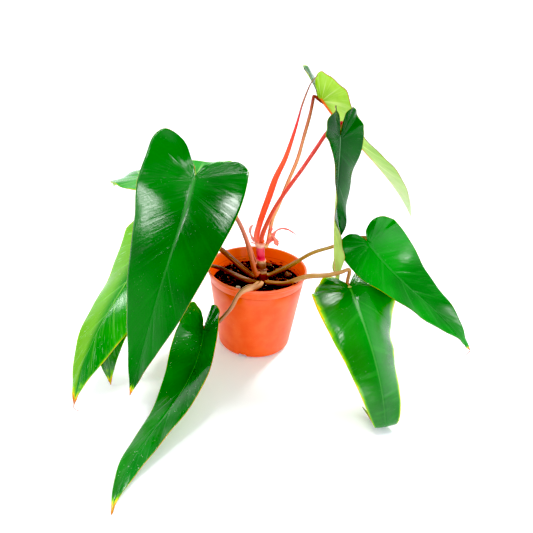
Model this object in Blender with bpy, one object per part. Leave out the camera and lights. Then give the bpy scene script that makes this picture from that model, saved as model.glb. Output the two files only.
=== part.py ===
"""Potted philodendron: a nursery pot of soil with one short stem, nine drooping arrow-shaped
leaves on their own petioles, and a new leaf still rolled up above its pink sheath.

Metres, +Z up. The pot stands on z = 0, centred on the origin. The front is -Y.
Heights of the plant's own parts are given above the soil, so that they follow the pot.
"""

import math

import bmesh
import bpy
import numpy as np

MM = 0.001

# Pot
POT_HEIGHT = 0.103
POT_RIM_RADIUS = 0.060
POT_BASE_RADIUS = 0.0445
POT_WALL = 0.0016
POT_FLOOR = 0.003
POT_LIP_HEIGHT = 0.0035
POT_LIP_OUT = 0.0011
POT_FOOT_ROUND = 0.005
POT_NOTCH_WIDTH = 0.011
POT_NOTCH_HEIGHT = 0.0045
POT_NOTCH_DEEP = 0.011
POT_NOTCH_TURNS = (-106.0, -8.0, 76.0, 164.0)
POT_SIDES = 48

# Soil
SOIL_BELOW_RIM = 0.019
SOIL_BUMP = 0.0012
SOIL_FLAT = 0.026

# Gap between pieces that touch
GAP = 0.0003

# Stem, leaning towards -X
STEM_RADIUS = 0.0053
STEM_LENGTH = 0.053
STEM_FOOT = (0.0075, 0.000)
STEM_TOP = (0.0010, 0.000)
STEM_RING_OUT = 0.0009
STEM_RING_SHARES = (0.06, 0.30, 0.55, 0.93)

# Leaf blades
BLADE_THICK = 0.0008
BLADE_ROWS = 20
BLADE_COLUMNS = 4
TUCK_SHARE = 0.07

# Half of a flat blade: (share of the lobe or of the length, share of half the width)
BLADE_EDGE = (
    (-0.12, 0.02), (-0.35, 0.07), (-0.78, 0.22), (-1.00, 0.50), (-0.82, 0.78), (-0.32, 0.95),
    (0.08, 1.00), (0.30, 0.88), (0.50, 0.69), (0.68, 0.47), (0.84, 0.22), (0.94, 0.07), (1.00, 0.00),
)

# One entry per leaf. "at" is where the petiole meets the blade, x and y from the pot's axis and
# z above the soil, in mm; length, width and the two lobes (right, left seen from the tip) in mm.
# Heading, pitch, roll and fold run base, middle, tip, in degrees.
LEAVES = {
    "big": dict(
        at=(-67, -52, 146), length=234, width=119, lobes=(16, 52), sides=(0.93, 1.04),
        heading=(-90, -120, -117), pitch=(-26, -62, -60), roll=(-10, 3, 13), fold=(6, 3, 11),
        cup=-14, lobe_curl=(7, 69),
    ),
    "back_left": dict(
        at=(-72, 17, 123), length=166, width=96, lobes=(35, 35), sides=(1.06, 1.00),
        heading=(169, 146, 121), pitch=(-10, -13, -41), roll=(-1, 11, 6), fold=(10, 5, 11),
        cup=-6, lobe_curl=(0, 2),
    ),
    "left": dict(
        at=(-112, -35, 74), length=206, width=100, lobes=(45, 45), sides=(1.04, 1.00),
        heading=(-111, -121, -114), pitch=(-35, -43, -74), roll=(-13, -7, 10), fold=(4, -6, 6),
        cup=-16, lobe_curl=(0, -1),
    ),
    "low_left": dict(
        at=(-106, -11, 18), length=165, width=77, lobes=(28, 28), sides=(0.98, 1.07),
        heading=(-145, -111, -59), pitch=(-11, -40, -74), roll=(0, -2, -1), fold=(6, 7, 7),
        cup=-8, lobe_curl=(0, 0),
    ),
    "front": dict(
        at=(-55, -74, -26), length=222, width=70, lobes=(24, 29), sides=(1.03, 0.92),
        heading=(-88, -114, -79), pitch=(-38, -12, -1), roll=(-9, -23, 7), fold=(50, 1, 8),
        cup=1, lobe_curl=(0, 1),
    ),
    "front_right": dict(
        at=(104, -54, 30), length=200, width=100, lobes=(30, 25), sides=(1.23, 0.85),
        heading=(-80, -64, -58), pitch=(-9, -52, -87), roll=(-7, 10, -36), fold=(-5, -11, 10),
        cup=-22, lobe_curl=(0, -9), tuck=(0.78, -100),
    ),
    "right": dict(
        at=(123, -17, 70), length=180, width=75, lobes=(17, 18), sides=(1.05, 0.91),
        heading=(-34, -17, -4), pitch=(-44, -34, -54), roll=(-58, -32, -61), fold=(15, 9, 19),
        cup=1, lobe_curl=(-2, -8),
    ),
    "hanging": dict(
        at=(78, -24, 189), length=190, width=57, lobes=(26, 31), sides=(0.99, 0.97),
        heading=(-25, -8, 8), pitch=(-85, -86, -73), roll=(-20, -4, 36), fold=(13, 24, 41),
        cup=1, lobe_curl=(-11, -2),
    ),
    "top": dict(
        at=(58, 36, 216), length=194, width=102, lobes=(31, 30), sides=(1.01, 1.04),
        heading=(14, 8, 5), pitch=(-50, -43, -60), roll=(1, 0, 10), fold=(21, 18, 60),
        cup=-7, lobe_curl=(-3, 9),
    ),
}

# Petioles: points in mm (z above the soil) from the stem out, then the half widths at the
# start, just past the sheath and at the blade, and how flat the sheath is. The last stretch
# to the blade is found from the blade. A point ("rim", turn, out, up) is set from the pot's rim.
PETIOLES = {
    "big": dict(
        points=((-2, -10, 16), (-10, -13, 47), (-15, -17, 64), (-23, -22, 85), (-42, -35, 123), (-57, -42, 146)),
        half=(3.0, 2.6, 1.8), flat=0.8,
    ),
    "back_left": dict(
        points=((-4, 9, 21), (-13, 11, 44), (-25, 13, 71), (-45, 15, 101), (-60, 14, 118)),
        half=(3.0, 2.4, 1.7), flat=0.8,
    ),
    "left": dict(
        points=((-5, 2, 6), (-13, 1, 12), (-31, -5, 31), (-45, -11, 46), (-67, -18, 62), (-93, -26, 74)),
        half=(4.0, 3.2, 2.0), flat=0.75,
    ),
    "low_left": dict(
        points=((-5, -11, 5), (-14, -12, 7.5), (-27, -13, 14), (-42, -13, 21), (-60, -13, 24), (-84, -8, 18)),
        half=(4.4, 2.8, 1.8), flat=0.7,
    ),
    "front": dict(
        points=((4, -14, 5), (0, -35, 12), ("rim", -97, 0, 4.4), ("rim", -103, 6, 1.5), ("rim", -106, 13, -4),
                (-24, -74, 7), (-31, -76, -3), (-40, -76, -14)),
        half=(5.2, 3.0, 2.0), flat=0.62,
    ),
    "front_right": dict(
        points=((16, -11, 5), (33, -25, 13), ("rim", -37, 0, 7), (60, -39, 32), (77, -44, 37), (92, -47, 43),
                (102, -49, 48)),
        half=(4.6, 2.7, 1.8), flat=0.65, near=(9.0, 1.0),
    ),
    "right": dict(
        points=((17, 1, 10), (39, -2, 25), (63, -4, 44), (86, -6, 55), (106, -8, 66)),
        half=(3.8, 2.8, 1.8), flat=0.75,
    ),
    "hanging": dict(
        points=((3, -4, 56), (5, -3, 68), (15, -3, 95), (28, -4, 120), (42, -6, 144), (56, -8, 170),
                (66, -9, 188), (76, -9, 197), (84, -12, 198)),
        half=(2.8, 2.7, 1.6), flat=0.85,
    ),
    "top": dict(
        points=((10, 5, 48), (14, 7, 78), (20, 9, 96), (30, 14, 126), (38, 19, 149), (43, 24, 172),
                (48, 29, 196), (50, 32, 210)),
        half=(2.6, 2.5, 1.6), flat=0.85,
    ),
}
PETIOLE_SIDES = 8

# Rolled new leaf and the pink sheath round its foot, points in mm, z above the soil
SHEATH_POINTS = ((-4, 4, 57), (1, 4, 80), (8, 5, 105), (15, 6, 130), (24, 6, 153), (31, 7, 179), (36, 8, 202))
SHEATH_HALVES = (2.8, 4.6, 1.2)
SHEATH_FLAT = 0.75
ROLLED_POINTS = ((36.4, 8, 205), (38, 8, 212), (41, 9, 222), (45, 9, 233), (51, 9, 241))
ROLLED_HALVES = (1.3, 1.2, 0.6)

# Old dried sheaths round the top ring of the stem
CURL_POINTS = ((11, -8, 55), (13.5, -9, 62), (15, -10, 69), (19, -10, 73), (25, -11, 74.5), (32, -12, 74.5),
               (38, -13, 73), (42, -13, 70))
CURL_HALVES = (3.2, 2.6, 1.0)
SCRAP_POINTS = ((-6, -6, 57), (-7.5, -6.5, 64), (-8.5, -7, 71), (-9.5, -7, 76))
SCRAP_HALVES = (2.0, 1.5, 0.7)
SHEATH_SKIN = 0.0004

# Pieces of bark and a pale pumice chip on the soil: x, y, turn in degrees, length, width, height in mm
CHIPS = {
    "bark_chip_front": (-30, -30, 35, 13, 7, 4),
    "bark_chip_left": (-38, 8, 80, 10, 6, 3.5),
    "bark_chip_back": (12, 36, -20, 14, 6, 4),
    "bark_chip_right": (38, 14, 60, 11, 7, 3.5),
    "pumice_chip": (-21, -25, 10, 6, 4.5, 3.2),
}

# Root strands that lie on the soil, points in mm, z above the soil
ROOTS = {
    "root_back": ((22, 26, 2.6), (30, 31, 5.5), (38, 30, 4.2), (44, 24, 2.8)),
    "root_right": ((27, 4, 2.4), (34, 1, 4.6), (41, -3, 3.2), (45, -9, 2.6)),
}
ROOT_HALF = 0.9


# ---------------------------------------------------------------- materials

def material(name, colour, roughness, coat=0.0):
    made = bpy.data.materials.new(name)
    made.use_nodes = True
    shader = made.node_tree.nodes["Principled BSDF"]
    shader.inputs["Base Color"].default_value = (*colour, 1)
    shader.inputs["Roughness"].default_value = roughness
    shader.inputs["Coat Weight"].default_value = coat
    return made


# ---------------------------------------------------------------- shared shapes

def spline(points, shares):
    """Points of a smooth curve through the given points, at shares 0..1 of its spans."""
    points = np.asarray(points, float)
    spans = len(points) - 1
    ends = np.vstack([2 * points[0] - points[1], points, 2 * points[-1] - points[-2]])
    along = np.clip(np.asarray(shares, float), 0, 1) * spans
    index = np.minimum(along.astype(int), spans - 1)
    t = (along - index)[:, None]
    a, b, c, d = ends[index], ends[index + 1], ends[index + 2], ends[index + 3]
    return 0.5 * (
        2 * b + (c - a) * t + (2 * a - 5 * b + 4 * c - d) * t**2 + (3 * b - a - 3 * c + d) * t**3
    )


def three(values, x):
    """A value that runs smoothly from base through middle to tip."""
    base, middle, tip = values
    return base * (2 * x - 1) * (x - 1) + middle * 4 * x * (1 - x) + tip * x * (2 * x - 1)


def node(name, bm, slot, smooth=True):
    bm.normal_update()
    bmesh.ops.recalc_face_normals(bm, faces=bm.faces)
    mesh = bpy.data.meshes.new(name)
    bm.to_mesh(mesh)
    bm.free()
    for face in mesh.polygons:
        face.use_smooth = smooth
    made = bpy.data.objects.new(name, mesh)
    made.data.materials.append(slot)
    bpy.context.scene.collection.objects.link(made)
    return made


def ring_skin(rings):
    """A closed body over rings of equal length, with a flat cap on each end."""
    bm = bmesh.new()
    rows = [[bm.verts.new(point) for point in ring] for ring in rings]
    count = len(rows[0])
    for low, high in zip(rows, rows[1:]):
        for i in range(count):
            j = (i + 1) % count
            bm.faces.new((low[i], low[j], high[j], high[i]))
    bm.faces.new(list(reversed(rows[0])))
    bm.faces.new(rows[-1])
    return bm


def tube(path, wide, thick, sides, first_side=None):
    """Rings round a path; wide and thick are the half sizes along it."""
    path = np.asarray(path, float)
    along = np.gradient(path, axis=0)
    along /= np.linalg.norm(along, axis=1)[:, None]
    side = np.cross(along[0], (0, 0, 1)) if first_side is None else np.asarray(first_side, float)
    rings = []
    for i, point in enumerate(path):
        side = side - along[i] * side.dot(along[i])
        side = side / np.linalg.norm(side)
        over = np.cross(side, along[i])
        turns = 2 * np.pi * np.arange(sides) / sides
        rings.append(
            point
            + np.outer(np.cos(turns) * wide[i], side)
            + np.outer(np.sin(turns) * thick[i], over)
        )
    return ring_skin(rings)


def smoothstep(x):
    x = np.clip(x, 0, 1)
    return x * x * (3 - 2 * x)


def halves(values, shares, knee=0.22):
    """Half widths along a petiole: quickly from the sheath to the stalk, then slowly to the end."""
    start, past, end = values
    quick = start + (past - start) * smoothstep(shares / knee)
    return (quick + (end - past) * np.clip((shares - knee) / (1 - knee), 0, 1)) * MM


# ---------------------------------------------------------------- heights that follow the pot

def soil_height():
    return POT_HEIGHT - SOIL_BELOW_RIM


def rim_point(turn, out, up):
    reach = POT_RIM_RADIUS + out * MM
    angle = math.radians(turn)
    return (reach * math.cos(angle), reach * math.sin(angle), POT_HEIGHT + up * MM)


def placed(points):
    """Plant points in metres, from mm above the soil or from the rim."""
    out = []
    for point in points:
        if point[0] == "rim":
            out.append(rim_point(*point[1:]))
        else:
            x, y, z = point
            out.append((x * MM, y * MM, soil_height() + z * MM))
    return np.array(out)


# ---------------------------------------------------------------- leaf blades

def bent(leaf, x):
    """Pitch along the midrib, with a sharp tuck under where the blade meets the ground."""
    pitch = np.radians(three(leaf["pitch"], x))
    if "tuck" in leaf:
        share, turn = leaf["tuck"]
        pitch = pitch + math.radians(turn) * smoothstep((x - share) / TUCK_SHARE)
    return pitch


def direction(leaf, x):
    heading = np.radians(three(leaf["heading"], x))
    pitch = bent(leaf, x)
    return np.stack(
        [np.cos(heading) * np.cos(pitch), np.sin(heading) * np.cos(pitch), np.sin(pitch)], -1
    )


def midrib_frames(leaf, u, v):
    """Point, side and upward normal of the midrib at distances u; v picks the lobe that curls."""
    length = leaf["length"] * MM
    steps = np.linspace(0, 1, 101)
    dirs = direction(leaf, steps)
    start = placed([leaf["at"]])[0]
    walked = np.vstack([[0, 0, 0], np.cumsum((dirs[1:] + dirs[:-1]) / 2 * length / 100, axis=0)])
    line = start + walked
    x = np.clip(u / length, 0, 1)
    point = np.stack([np.interp(x, steps, line[:, k]) for k in range(3)], -1)
    along = direction(leaf, x)
    heading = np.radians(three(leaf["heading"], x))
    roll = np.radians(three(leaf["roll"], x))[:, None]
    level = np.stack([np.sin(heading), -np.cos(heading), 0 * heading], -1)
    lift = np.cross(level, along)
    side = np.cos(roll) * level + np.sin(roll) * lift
    normal = -np.sin(roll) * level + np.cos(roll) * lift
    back = np.minimum(u, 0)
    right, left = leaf["lobe_curl"]
    curl = np.radians(np.where(v < 0, right, left)) * np.clip(np.abs(v) / (leaf["width"] * MM * 0.12), 0, 1)
    turn = (curl * back / (length * 0.25))[:, None]
    point = point + back[:, None] * (np.cos(turn / 2) * along + np.sin(turn / 2) * normal)
    normal = -np.sin(turn) * along + np.cos(turn) * normal
    return point, side, normal


def blade_points(leaf, u, v):
    """Points in space of a flat blade's points, u along the midrib and v across it."""
    point, side, normal = midrib_frames(leaf, u, v)
    half = leaf["width"] * MM / 2
    x = np.clip(u / (leaf["length"] * MM), 0, 1)
    cup = math.radians(leaf["cup"]) * np.abs(v) / half / 2
    angle = (np.radians(three(leaf["fold"], x)) + cup)[:, None]
    reach = (np.abs(v) * np.sinc(cup / np.pi))[:, None]
    return point + np.sign(v)[:, None] * reach * np.cos(angle) * side + reach * np.sin(angle) * normal


def blade_grid(leaf, rows, columns):
    """Flat (u, v) points in rows that run as the side veins do, from margin to margin."""
    shares = np.linspace(0.0, 0.985, rows)
    if "tuck" in leaf:
        # closer rows where the blade bends sharply
        shares = np.concatenate([np.linspace(0, 0.68, rows // 2, endpoint=False), np.linspace(0.68, 0.985, rows - 2)])
    edge = spline(BLADE_EDGE, shares)
    length = leaf["length"] * MM
    half = leaf["width"] * MM / 2
    vein = np.where(shares < 0.5, 0.06 * shares, 0.03 + 0.97 * (2 * np.maximum(shares, 0.5) - 1) ** 1.15)
    if "tuck" in leaf:
        vein = vein + (edge[:, 0] - vein) * smoothstep((shares - 0.55) / 0.15)
    start = vein * length
    grid = []
    for k in range(-columns, columns + 1):
        way = abs(k) / columns
        which = 0 if k < 0 else 1
        end_u = np.where(edge[:, 0] < 0, edge[:, 0] * leaf["lobes"][which] * MM, edge[:, 0] * length)
        end_v = edge[:, 1] * half * leaf["sides"][which]
        grid.append(np.stack([start + (end_u - start) * way, np.sign(k) * end_v * way], -1))
    return np.stack(grid, 1)


def make_blade(name, leaf, slot):
    flat = blade_grid(leaf, BLADE_ROWS, BLADE_COLUMNS)
    rows, columns = flat.shape[:2]
    space = blade_points(leaf, flat[..., 0].ravel(), flat[..., 1].ravel()).reshape(rows, columns, 3)
    bm = bmesh.new()
    verts = [[bm.verts.new(space[i, j]) for j in range(columns)] for i in range(rows)]
    for i in range(rows - 1):
        for j in range(columns - 1):
            bm.faces.new((verts[i][j], verts[i + 1][j], verts[i + 1][j + 1], verts[i][j + 1]))
    made = node(name, bm, slot)
    skin = made.modifiers.new("thickness", "SOLIDIFY")
    skin.thickness = BLADE_THICK
    skin.offset = 0
    return made


# ---------------------------------------------------------------- petioles and sheaths

def petiole_path(leaf, plan):
    """The petiole's points, with the last stretch brought in under the foot of the blade."""
    back, down = plan.get("near", (5.0, 5.2))
    zero = np.zeros(1)
    point, _, normal = midrib_frames(leaf, zero, zero)
    along = direction(leaf, zero)[0]
    point, normal = point[0], normal[0]
    near = point - along * back * MM - normal * down * MM
    last = point + along * 1.0 * MM - normal * 3.4 * MM
    return np.vstack([placed(plan["points"]), near, last])


def make_petiole(name, leaf, plan, slot):
    guide = petiole_path(leaf, plan)
    shares = np.linspace(0, 1, 2 * len(guide) - 1)
    path = spline(guide, shares)
    wide = halves(plan["half"], shares)
    thick = wide * (plan["flat"] + (0.95 - plan["flat"]) * smoothstep(shares / 0.3))
    return node(name, tube(path, wide, thick, PETIOLE_SIDES), slot)


def make_strip(name, points, sizes, flat, slot, sides=8, first_side=None):
    guide = placed(points)
    shares = np.linspace(0, 1, 2 * len(guide) - 1)
    start, middle, end = (size * MM for size in sizes)
    wide = np.interp(shares, (0, 0.4, 1), (start, middle, end))
    thick = wide * flat if flat < 1 else np.full(len(shares), SHEATH_SKIN)
    return node(name, tube(spline(guide, shares), wide, thick, sides, first_side), slot)


# ---------------------------------------------------------------- stem

def make_stem(slot):
    """Short internodes between the raised rings where old leaves were held."""
    foot = soil_height() + GAP
    shares = sorted({0.0, 0.16, 0.43, 0.75, 1.0}.union(
        share + step for share in STEM_RING_SHARES for step in (-0.045, 0.0, 0.045)))
    rings = []
    for share in shares:
        swell = max(0.0, max(1 - abs(share - ring) / 0.04 for ring in STEM_RING_SHARES))
        radius = STEM_RADIUS * (1.08 - 0.12 * share) + STEM_RING_OUT * swell
        x = STEM_FOOT[0] + (STEM_TOP[0] - STEM_FOOT[0]) * share
        y = STEM_FOOT[1] + (STEM_TOP[1] - STEM_FOOT[1]) * share
        turns = 2 * np.pi * np.arange(14) / 14
        rings.append(np.stack([
            x + radius * np.cos(turns), y + radius * np.sin(turns), np.full(14, foot + share * STEM_LENGTH)
        ], -1))
    return node("stem", ring_skin(rings), slot)


# ---------------------------------------------------------------- pot and soil

def wall_radius(z):
    """Outer radius of the pot's tapered wall."""
    return POT_BASE_RADIUS + (POT_RIM_RADIUS - POT_LIP_OUT - POT_BASE_RADIUS) * z / POT_HEIGHT


def pot_profile():
    """Radius and height round the wall's section, from the middle of the underside to the inside."""
    outside = [(0.0, 0.0)]
    for k in range(5):
        turn = math.radians(22.5 * k)
        centre = wall_radius(POT_FOOT_ROUND) - POT_FOOT_ROUND
        outside.append((centre + POT_FOOT_ROUND * math.sin(turn), POT_FOOT_ROUND * (1 - math.cos(turn))))
    lip = POT_HEIGHT - POT_LIP_HEIGHT
    outside.append((wall_radius(lip) + GAP, lip - POT_LIP_OUT))
    outside.append((POT_RIM_RADIUS, lip))
    outside.append((POT_RIM_RADIUS, POT_HEIGHT - 0.0006))
    outside.append((POT_RIM_RADIUS - 0.0006, POT_HEIGHT))
    outside.append((wall_radius(POT_HEIGHT) - POT_WALL, POT_HEIGHT))
    outside.append((wall_radius(POT_FLOOR + 0.003) - POT_WALL, POT_FLOOR + 0.003))
    outside.append((wall_radius(POT_FLOOR) - POT_WALL - 0.003, POT_FLOOR))
    outside.append((0.0, POT_FLOOR))
    return outside


def make_pot(slot):
    bm = bmesh.new()
    verts = [bm.verts.new((r, 0, z)) for r, z in pot_profile()]
    edges = [bm.edges.new(pair) for pair in zip(verts, verts[1:])]
    bmesh.ops.spin(
        bm, geom=verts + edges, cent=(0, 0, 0), axis=(0, 0, 1), angle=2 * math.pi,
        steps=POT_SIDES, use_merge=True,
    )
    bmesh.ops.remove_doubles(bm, verts=bm.verts, dist=1e-6)
    pot = node("pot", bm, slot)
    for number, turn in enumerate(POT_NOTCH_TURNS):
        cut = make_notch(f"notch_cut_{number}", turn)
        hole = pot.modifiers.new(f"notch_{number}", "BOOLEAN")
        hole.operation = "DIFFERENCE"
        hole.solver = "EXACT"
        hole.object = cut
    return pot


def make_notch(name, turn):
    bm = bmesh.new()
    bmesh.ops.create_cube(bm, size=1)
    middle = POT_BASE_RADIUS - POT_NOTCH_DEEP / 2 + 0.004
    angle = math.radians(turn)
    for vert in bm.verts:
        along = middle + vert.co.x * (POT_NOTCH_DEEP + 0.004)
        across = vert.co.y * POT_NOTCH_WIDTH
        z = vert.co.z * 2 * POT_NOTCH_HEIGHT
        vert.co = (
            along * math.cos(angle) - across * math.sin(angle),
            along * math.sin(angle) + across * math.cos(angle),
            z,
        )
    cut = node(name, bm, bpy.data.materials["pot_plastic"], smooth=False)
    cut.hide_render = True
    cut.display_type = "WIRE"
    return cut


def soil_bump(x, y):
    """Uneven surface, level round the stem and at the pot's wall."""
    reach = math.hypot(x, y)
    calm = smoothstep((reach - SOIL_FLAT * 0.4) / (SOIL_FLAT * 0.6))
    wave = math.sin(310 * x + 90 * y) + math.sin(-170 * x + 260 * y + 1.3) + math.sin(520 * x - 410 * y)
    return float(SOIL_BUMP * calm * wave / 3)


def make_soil(slot):
    top = soil_height()
    bottom = POT_FLOOR + 0.0035
    reach = wall_radius(top) - POT_WALL - GAP - 0.0002
    foot = wall_radius(bottom) - POT_WALL - GAP - 0.0008
    sides = 32
    levels = [(foot * 0.3, bottom), (foot, bottom), (reach, top - 0.001)]
    levels += [(reach * share, top) for share in (0.96, 0.8, 0.63, 0.46, 0.3, 0.15)]
    rings = []
    for r, z in levels:
        ring = []
        for i in range(sides):
            angle = 2 * math.pi * i / sides
            x, y = r * math.cos(angle), r * math.sin(angle)
            ring.append((x, y, z + (soil_bump(x, y) if z == top else 0)))
        rings.append(ring)
    return node("soil", ring_skin(rings), slot)


def make_chip(name, plan, slot):
    x, y, turn, long, wide, tall = plan
    bm = bmesh.new()
    bmesh.ops.create_cube(bm, size=1)
    bmesh.ops.subdivide_edges(bm, edges=bm.edges, cuts=1, use_grid_fill=True)
    angle = math.radians(turn)
    base = soil_height() + SOIL_BUMP + GAP
    for vert in bm.verts:
        narrow = 1 - 0.35 * abs(vert.co.x) - 0.2 * (vert.co.z + 0.5)
        along = vert.co.x * long * MM
        across = vert.co.y * wide * MM * narrow
        up = (vert.co.z + 0.5) * tall * MM * (1 - 0.3 * vert.co.x)
        vert.co = (
            x * MM + along * math.cos(angle) - across * math.sin(angle),
            y * MM + along * math.sin(angle) + across * math.cos(angle),
            base + up,
        )
    return node(name, bm, slot, smooth=False)


# ---------------------------------------------------------------- the whole plant

def build():
    for old in list(bpy.data.objects):
        bpy.data.objects.remove(old, do_unlink=True)

    pot_slot = material("pot_plastic", (0.86, 0.16, 0.05), 0.45)
    soil_slot = material("soil_mix", (0.05, 0.025, 0.015), 0.95)
    bark_slot = material("bark", (0.16, 0.07, 0.035), 0.9)
    pumice_slot = material("pumice", (0.8, 0.78, 0.72), 0.9)
    leaf_slot = material("leaf", (0.01, 0.20, 0.015), 0.28, 0.3)
    stalk_slot = material("petiole", (0.36, 0.16, 0.09), 0.45)
    stem_slot = material("stem_skin", (0.35, 0.09, 0.08), 0.5)
    sheath_slot = material("sheath", (0.78, 0.16, 0.12), 0.5)

    make_pot(pot_slot)
    make_soil(soil_slot)
    make_stem(stem_slot)
    for name, leaf in LEAVES.items():
        make_blade(f"blade_{name}", leaf, leaf_slot)
        make_petiole(f"petiole_{name}", leaf, PETIOLES[name], stalk_slot)
    make_strip("new_leaf_sheath", SHEATH_POINTS, SHEATH_HALVES, SHEATH_FLAT, sheath_slot)
    make_strip("new_leaf_rolled", ROLLED_POINTS, ROLLED_HALVES, 0.9, leaf_slot)
    make_strip("old_sheath_curl", CURL_POINTS, CURL_HALVES, 1, sheath_slot, first_side=(0.3, 0.9, 0.3))
    make_strip("old_sheath_scrap", SCRAP_POINTS, SCRAP_HALVES, 1, sheath_slot, first_side=(1, -0.5, 0))
    for name, plan in CHIPS.items():
        make_chip(name, plan, pumice_slot if name.startswith("pumice") else bark_slot)
    for name, points in ROOTS.items():
        make_strip(name, points, (ROOT_HALF, ROOT_HALF, ROOT_HALF * 0.6), 0.9, bark_slot, sides=6)


build()
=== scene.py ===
"""Looks of the potted philodendron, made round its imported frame.

Metres, +Z up. The pot stands on z = 0 and the front is -Y. Every leaf is laid out flat, with u
along its midrib and v across it, then bent into place by the same rule as its solid.
"""

import math
import random

import bmesh
import bpy
import numpy as np
from mathutils import Euler, Matrix, Vector, noise


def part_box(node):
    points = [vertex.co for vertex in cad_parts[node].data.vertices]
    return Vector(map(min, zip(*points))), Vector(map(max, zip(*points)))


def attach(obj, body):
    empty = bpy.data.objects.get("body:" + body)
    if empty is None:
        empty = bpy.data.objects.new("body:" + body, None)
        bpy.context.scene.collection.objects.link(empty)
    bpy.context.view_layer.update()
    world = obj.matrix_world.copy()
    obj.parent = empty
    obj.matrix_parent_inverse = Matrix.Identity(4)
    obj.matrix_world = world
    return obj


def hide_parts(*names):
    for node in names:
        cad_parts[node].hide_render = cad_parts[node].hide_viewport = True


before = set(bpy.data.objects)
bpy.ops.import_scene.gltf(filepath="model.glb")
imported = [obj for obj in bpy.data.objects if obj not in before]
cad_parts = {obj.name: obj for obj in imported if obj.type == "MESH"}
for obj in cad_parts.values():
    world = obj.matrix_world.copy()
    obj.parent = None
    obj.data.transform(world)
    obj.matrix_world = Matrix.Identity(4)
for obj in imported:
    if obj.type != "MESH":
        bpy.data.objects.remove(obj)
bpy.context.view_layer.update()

MM = 0.001
MERGE = 1e-6
CHANCE = random.Random(7)

# Places read from the frame; touching pieces are kept apart by a hair
POT_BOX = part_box("pot")
POT_HEIGHT = POT_BOX[1].z
RIM_RADIUS = POT_BOX[1].x
TOUCH = 0.0003
SOIL_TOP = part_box("stem")[0].z - TOUCH
STEM_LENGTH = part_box("stem")[1].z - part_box("stem")[0].z

# Camera, light and print: angles in degrees; the studio's white at a height on the sky's 0 to 1
LENS = 35.46
SENSOR = 36.0
CAMERA_PLACE = (0.0108, -0.5637, 0.3949)
CAMERA_TILT = 62.75
CAMERA_ROLL = 3.6
SUN_POWER = 1.9
SUN_ANGLE = 9
SUN_WAY = (-0.42, -0.55, -0.72)
HORIZON = (0.10, (0.98, 0.99, 1.0, 1))
OVERHEAD = (0.42, (0.66, 0.67, 0.68, 1))
HAZE = 0.028
WHITE_POINT = 0.80
PAPER_REACH = 60.0
PAPER_DROP = 0.0004
PAPER_GLOW = 0.18

# Softboxes: place, what they point at, width and height, how bright the face looks
SOFTBOXES = {
    "overhead_box": ((-0.27, -0.20, 1.20), (-0.03, -0.10, 0.20), (0.19, 0.19), 26.0),
    "left_box": ((-0.90, -0.13, 0.75), (-0.10, -0.06, 0.20), (0.13, 0.32), 17.0),
    "back_box": ((-0.14, 0.60, 0.94), (0.09, -0.07, 0.11), (0.17, 0.17), 15.0),
    "front_right_box": ((0.78, -1.04, 0.36), (0.12, -0.03, 0.12), (0.17, 0.17), 15.0),
}

# Pot: "splash" is how far above the soil its inside is marked
BASE_RADIUS = 0.0445
WALL = 0.0016
FLOOR = 0.003
LIP_HEIGHT = 0.0035
LIP_OUT = 0.0011
LIP_ROUND = 0.0006
STEP = POT_HEIGHT - 0.0125
STEP_IN = 0.00035
CHAMFER = 0.0004
SPLASH = 0.008
FOOT_ROUND = 0.005
FOOT_RING = 0.0315
FOOT_RISE = 0.0012
NOTCH_WIDTH = 0.011
NOTCH_HEIGHT = 0.0045
NOTCH_DEPTH = 0.015
NOTCH_ROUND = 0.0016
NOTCH_TURNS = (-106.0, -8.0, 76.0, 164.0)
POT_STEPS = 144
POT_CREASE = 50

# Soil: how many rings and steps its top has, how it rises, and where loose matter lies
SOIL_RINGS = 52
SOIL_STEPS = 120
BROAD_RISE = 0.0012
FINE_RISE = 0.0011
STEM_CLEAR = 0.010
LUMP_REACH = 0.0505
LUMP_SUNK = 0.25
LUMP_LEAN = 0.5
FIBRE_REACH = 0.046
FIBRES = 150
FIBRE_HALF = 0.0002

# Stem: its rings are shares of its height
STEM_RADIUS = 0.0053
STEM_FOOT = (0.0075, 0.000)
STEM_HEAD = (0.0010, 0.000)
STEM_RINGS = (0.06, 0.30, 0.55, 0.93)
STEM_ROWS = 64
STEM_STEPS = 48
RING_OUT = 0.0010
WAIST_IN = 0.0005

# Leaves and dried sheaths: waves are counted along the blade, heights are in metres
BLADE_SKIN = 0.0024
BLADE_THINNEST = 0.22
LEAF_ROWS = 132
LEAF_COLUMNS = 64
RIB_SPREAD = 1.35
TIP_SHARE = 0.996
TUCK_SHARE = 0.07
SIDE_VEINS = 11
VEIN_LAG = 0.4
CHANNEL_DEPTH = 0.0005
CHANNEL_HALF = 0.0016
RIDGE_HALF = 0.0019
QUILT_HEIGHT = 0.00022
WAVES = 4.3
WAVE_HEIGHT = 0.0011
SMALL_WAVES = 11.0
SMALL_WAVE_HEIGHT = 0.0004
OLD_SHEATH_SKIN = 0.0003
RIBBON_ROWS = 48
RIBBON_COLUMNS = 12

# Half of a flat blade: (share of the lobe or of the length, share of half the width)
BLADE_EDGE = (
    (-0.12, 0.02), (-0.35, 0.07), (-0.78, 0.22), (-1.00, 0.50), (-0.82, 0.78), (-0.32, 0.95),
    (0.08, 1.00), (0.30, 0.88), (0.50, 0.69), (0.68, 0.47), (0.84, 0.22), (0.94, 0.07), (1.00, 0.00),
)

# The dried thread beyond a tip: middle and end, in mm from the tip
TIP_THREADS = {
    "left": ((0, 0, -5), (5, 1, -9)),
    "right": ((-3.4, -1, -6), (-5.5, -1, -15)),
    "top": ((-0.5, 0, -4), (-1, 0, -8)),
}
THREAD_HALVES = (0.4, 0.55, 0.3)

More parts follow.
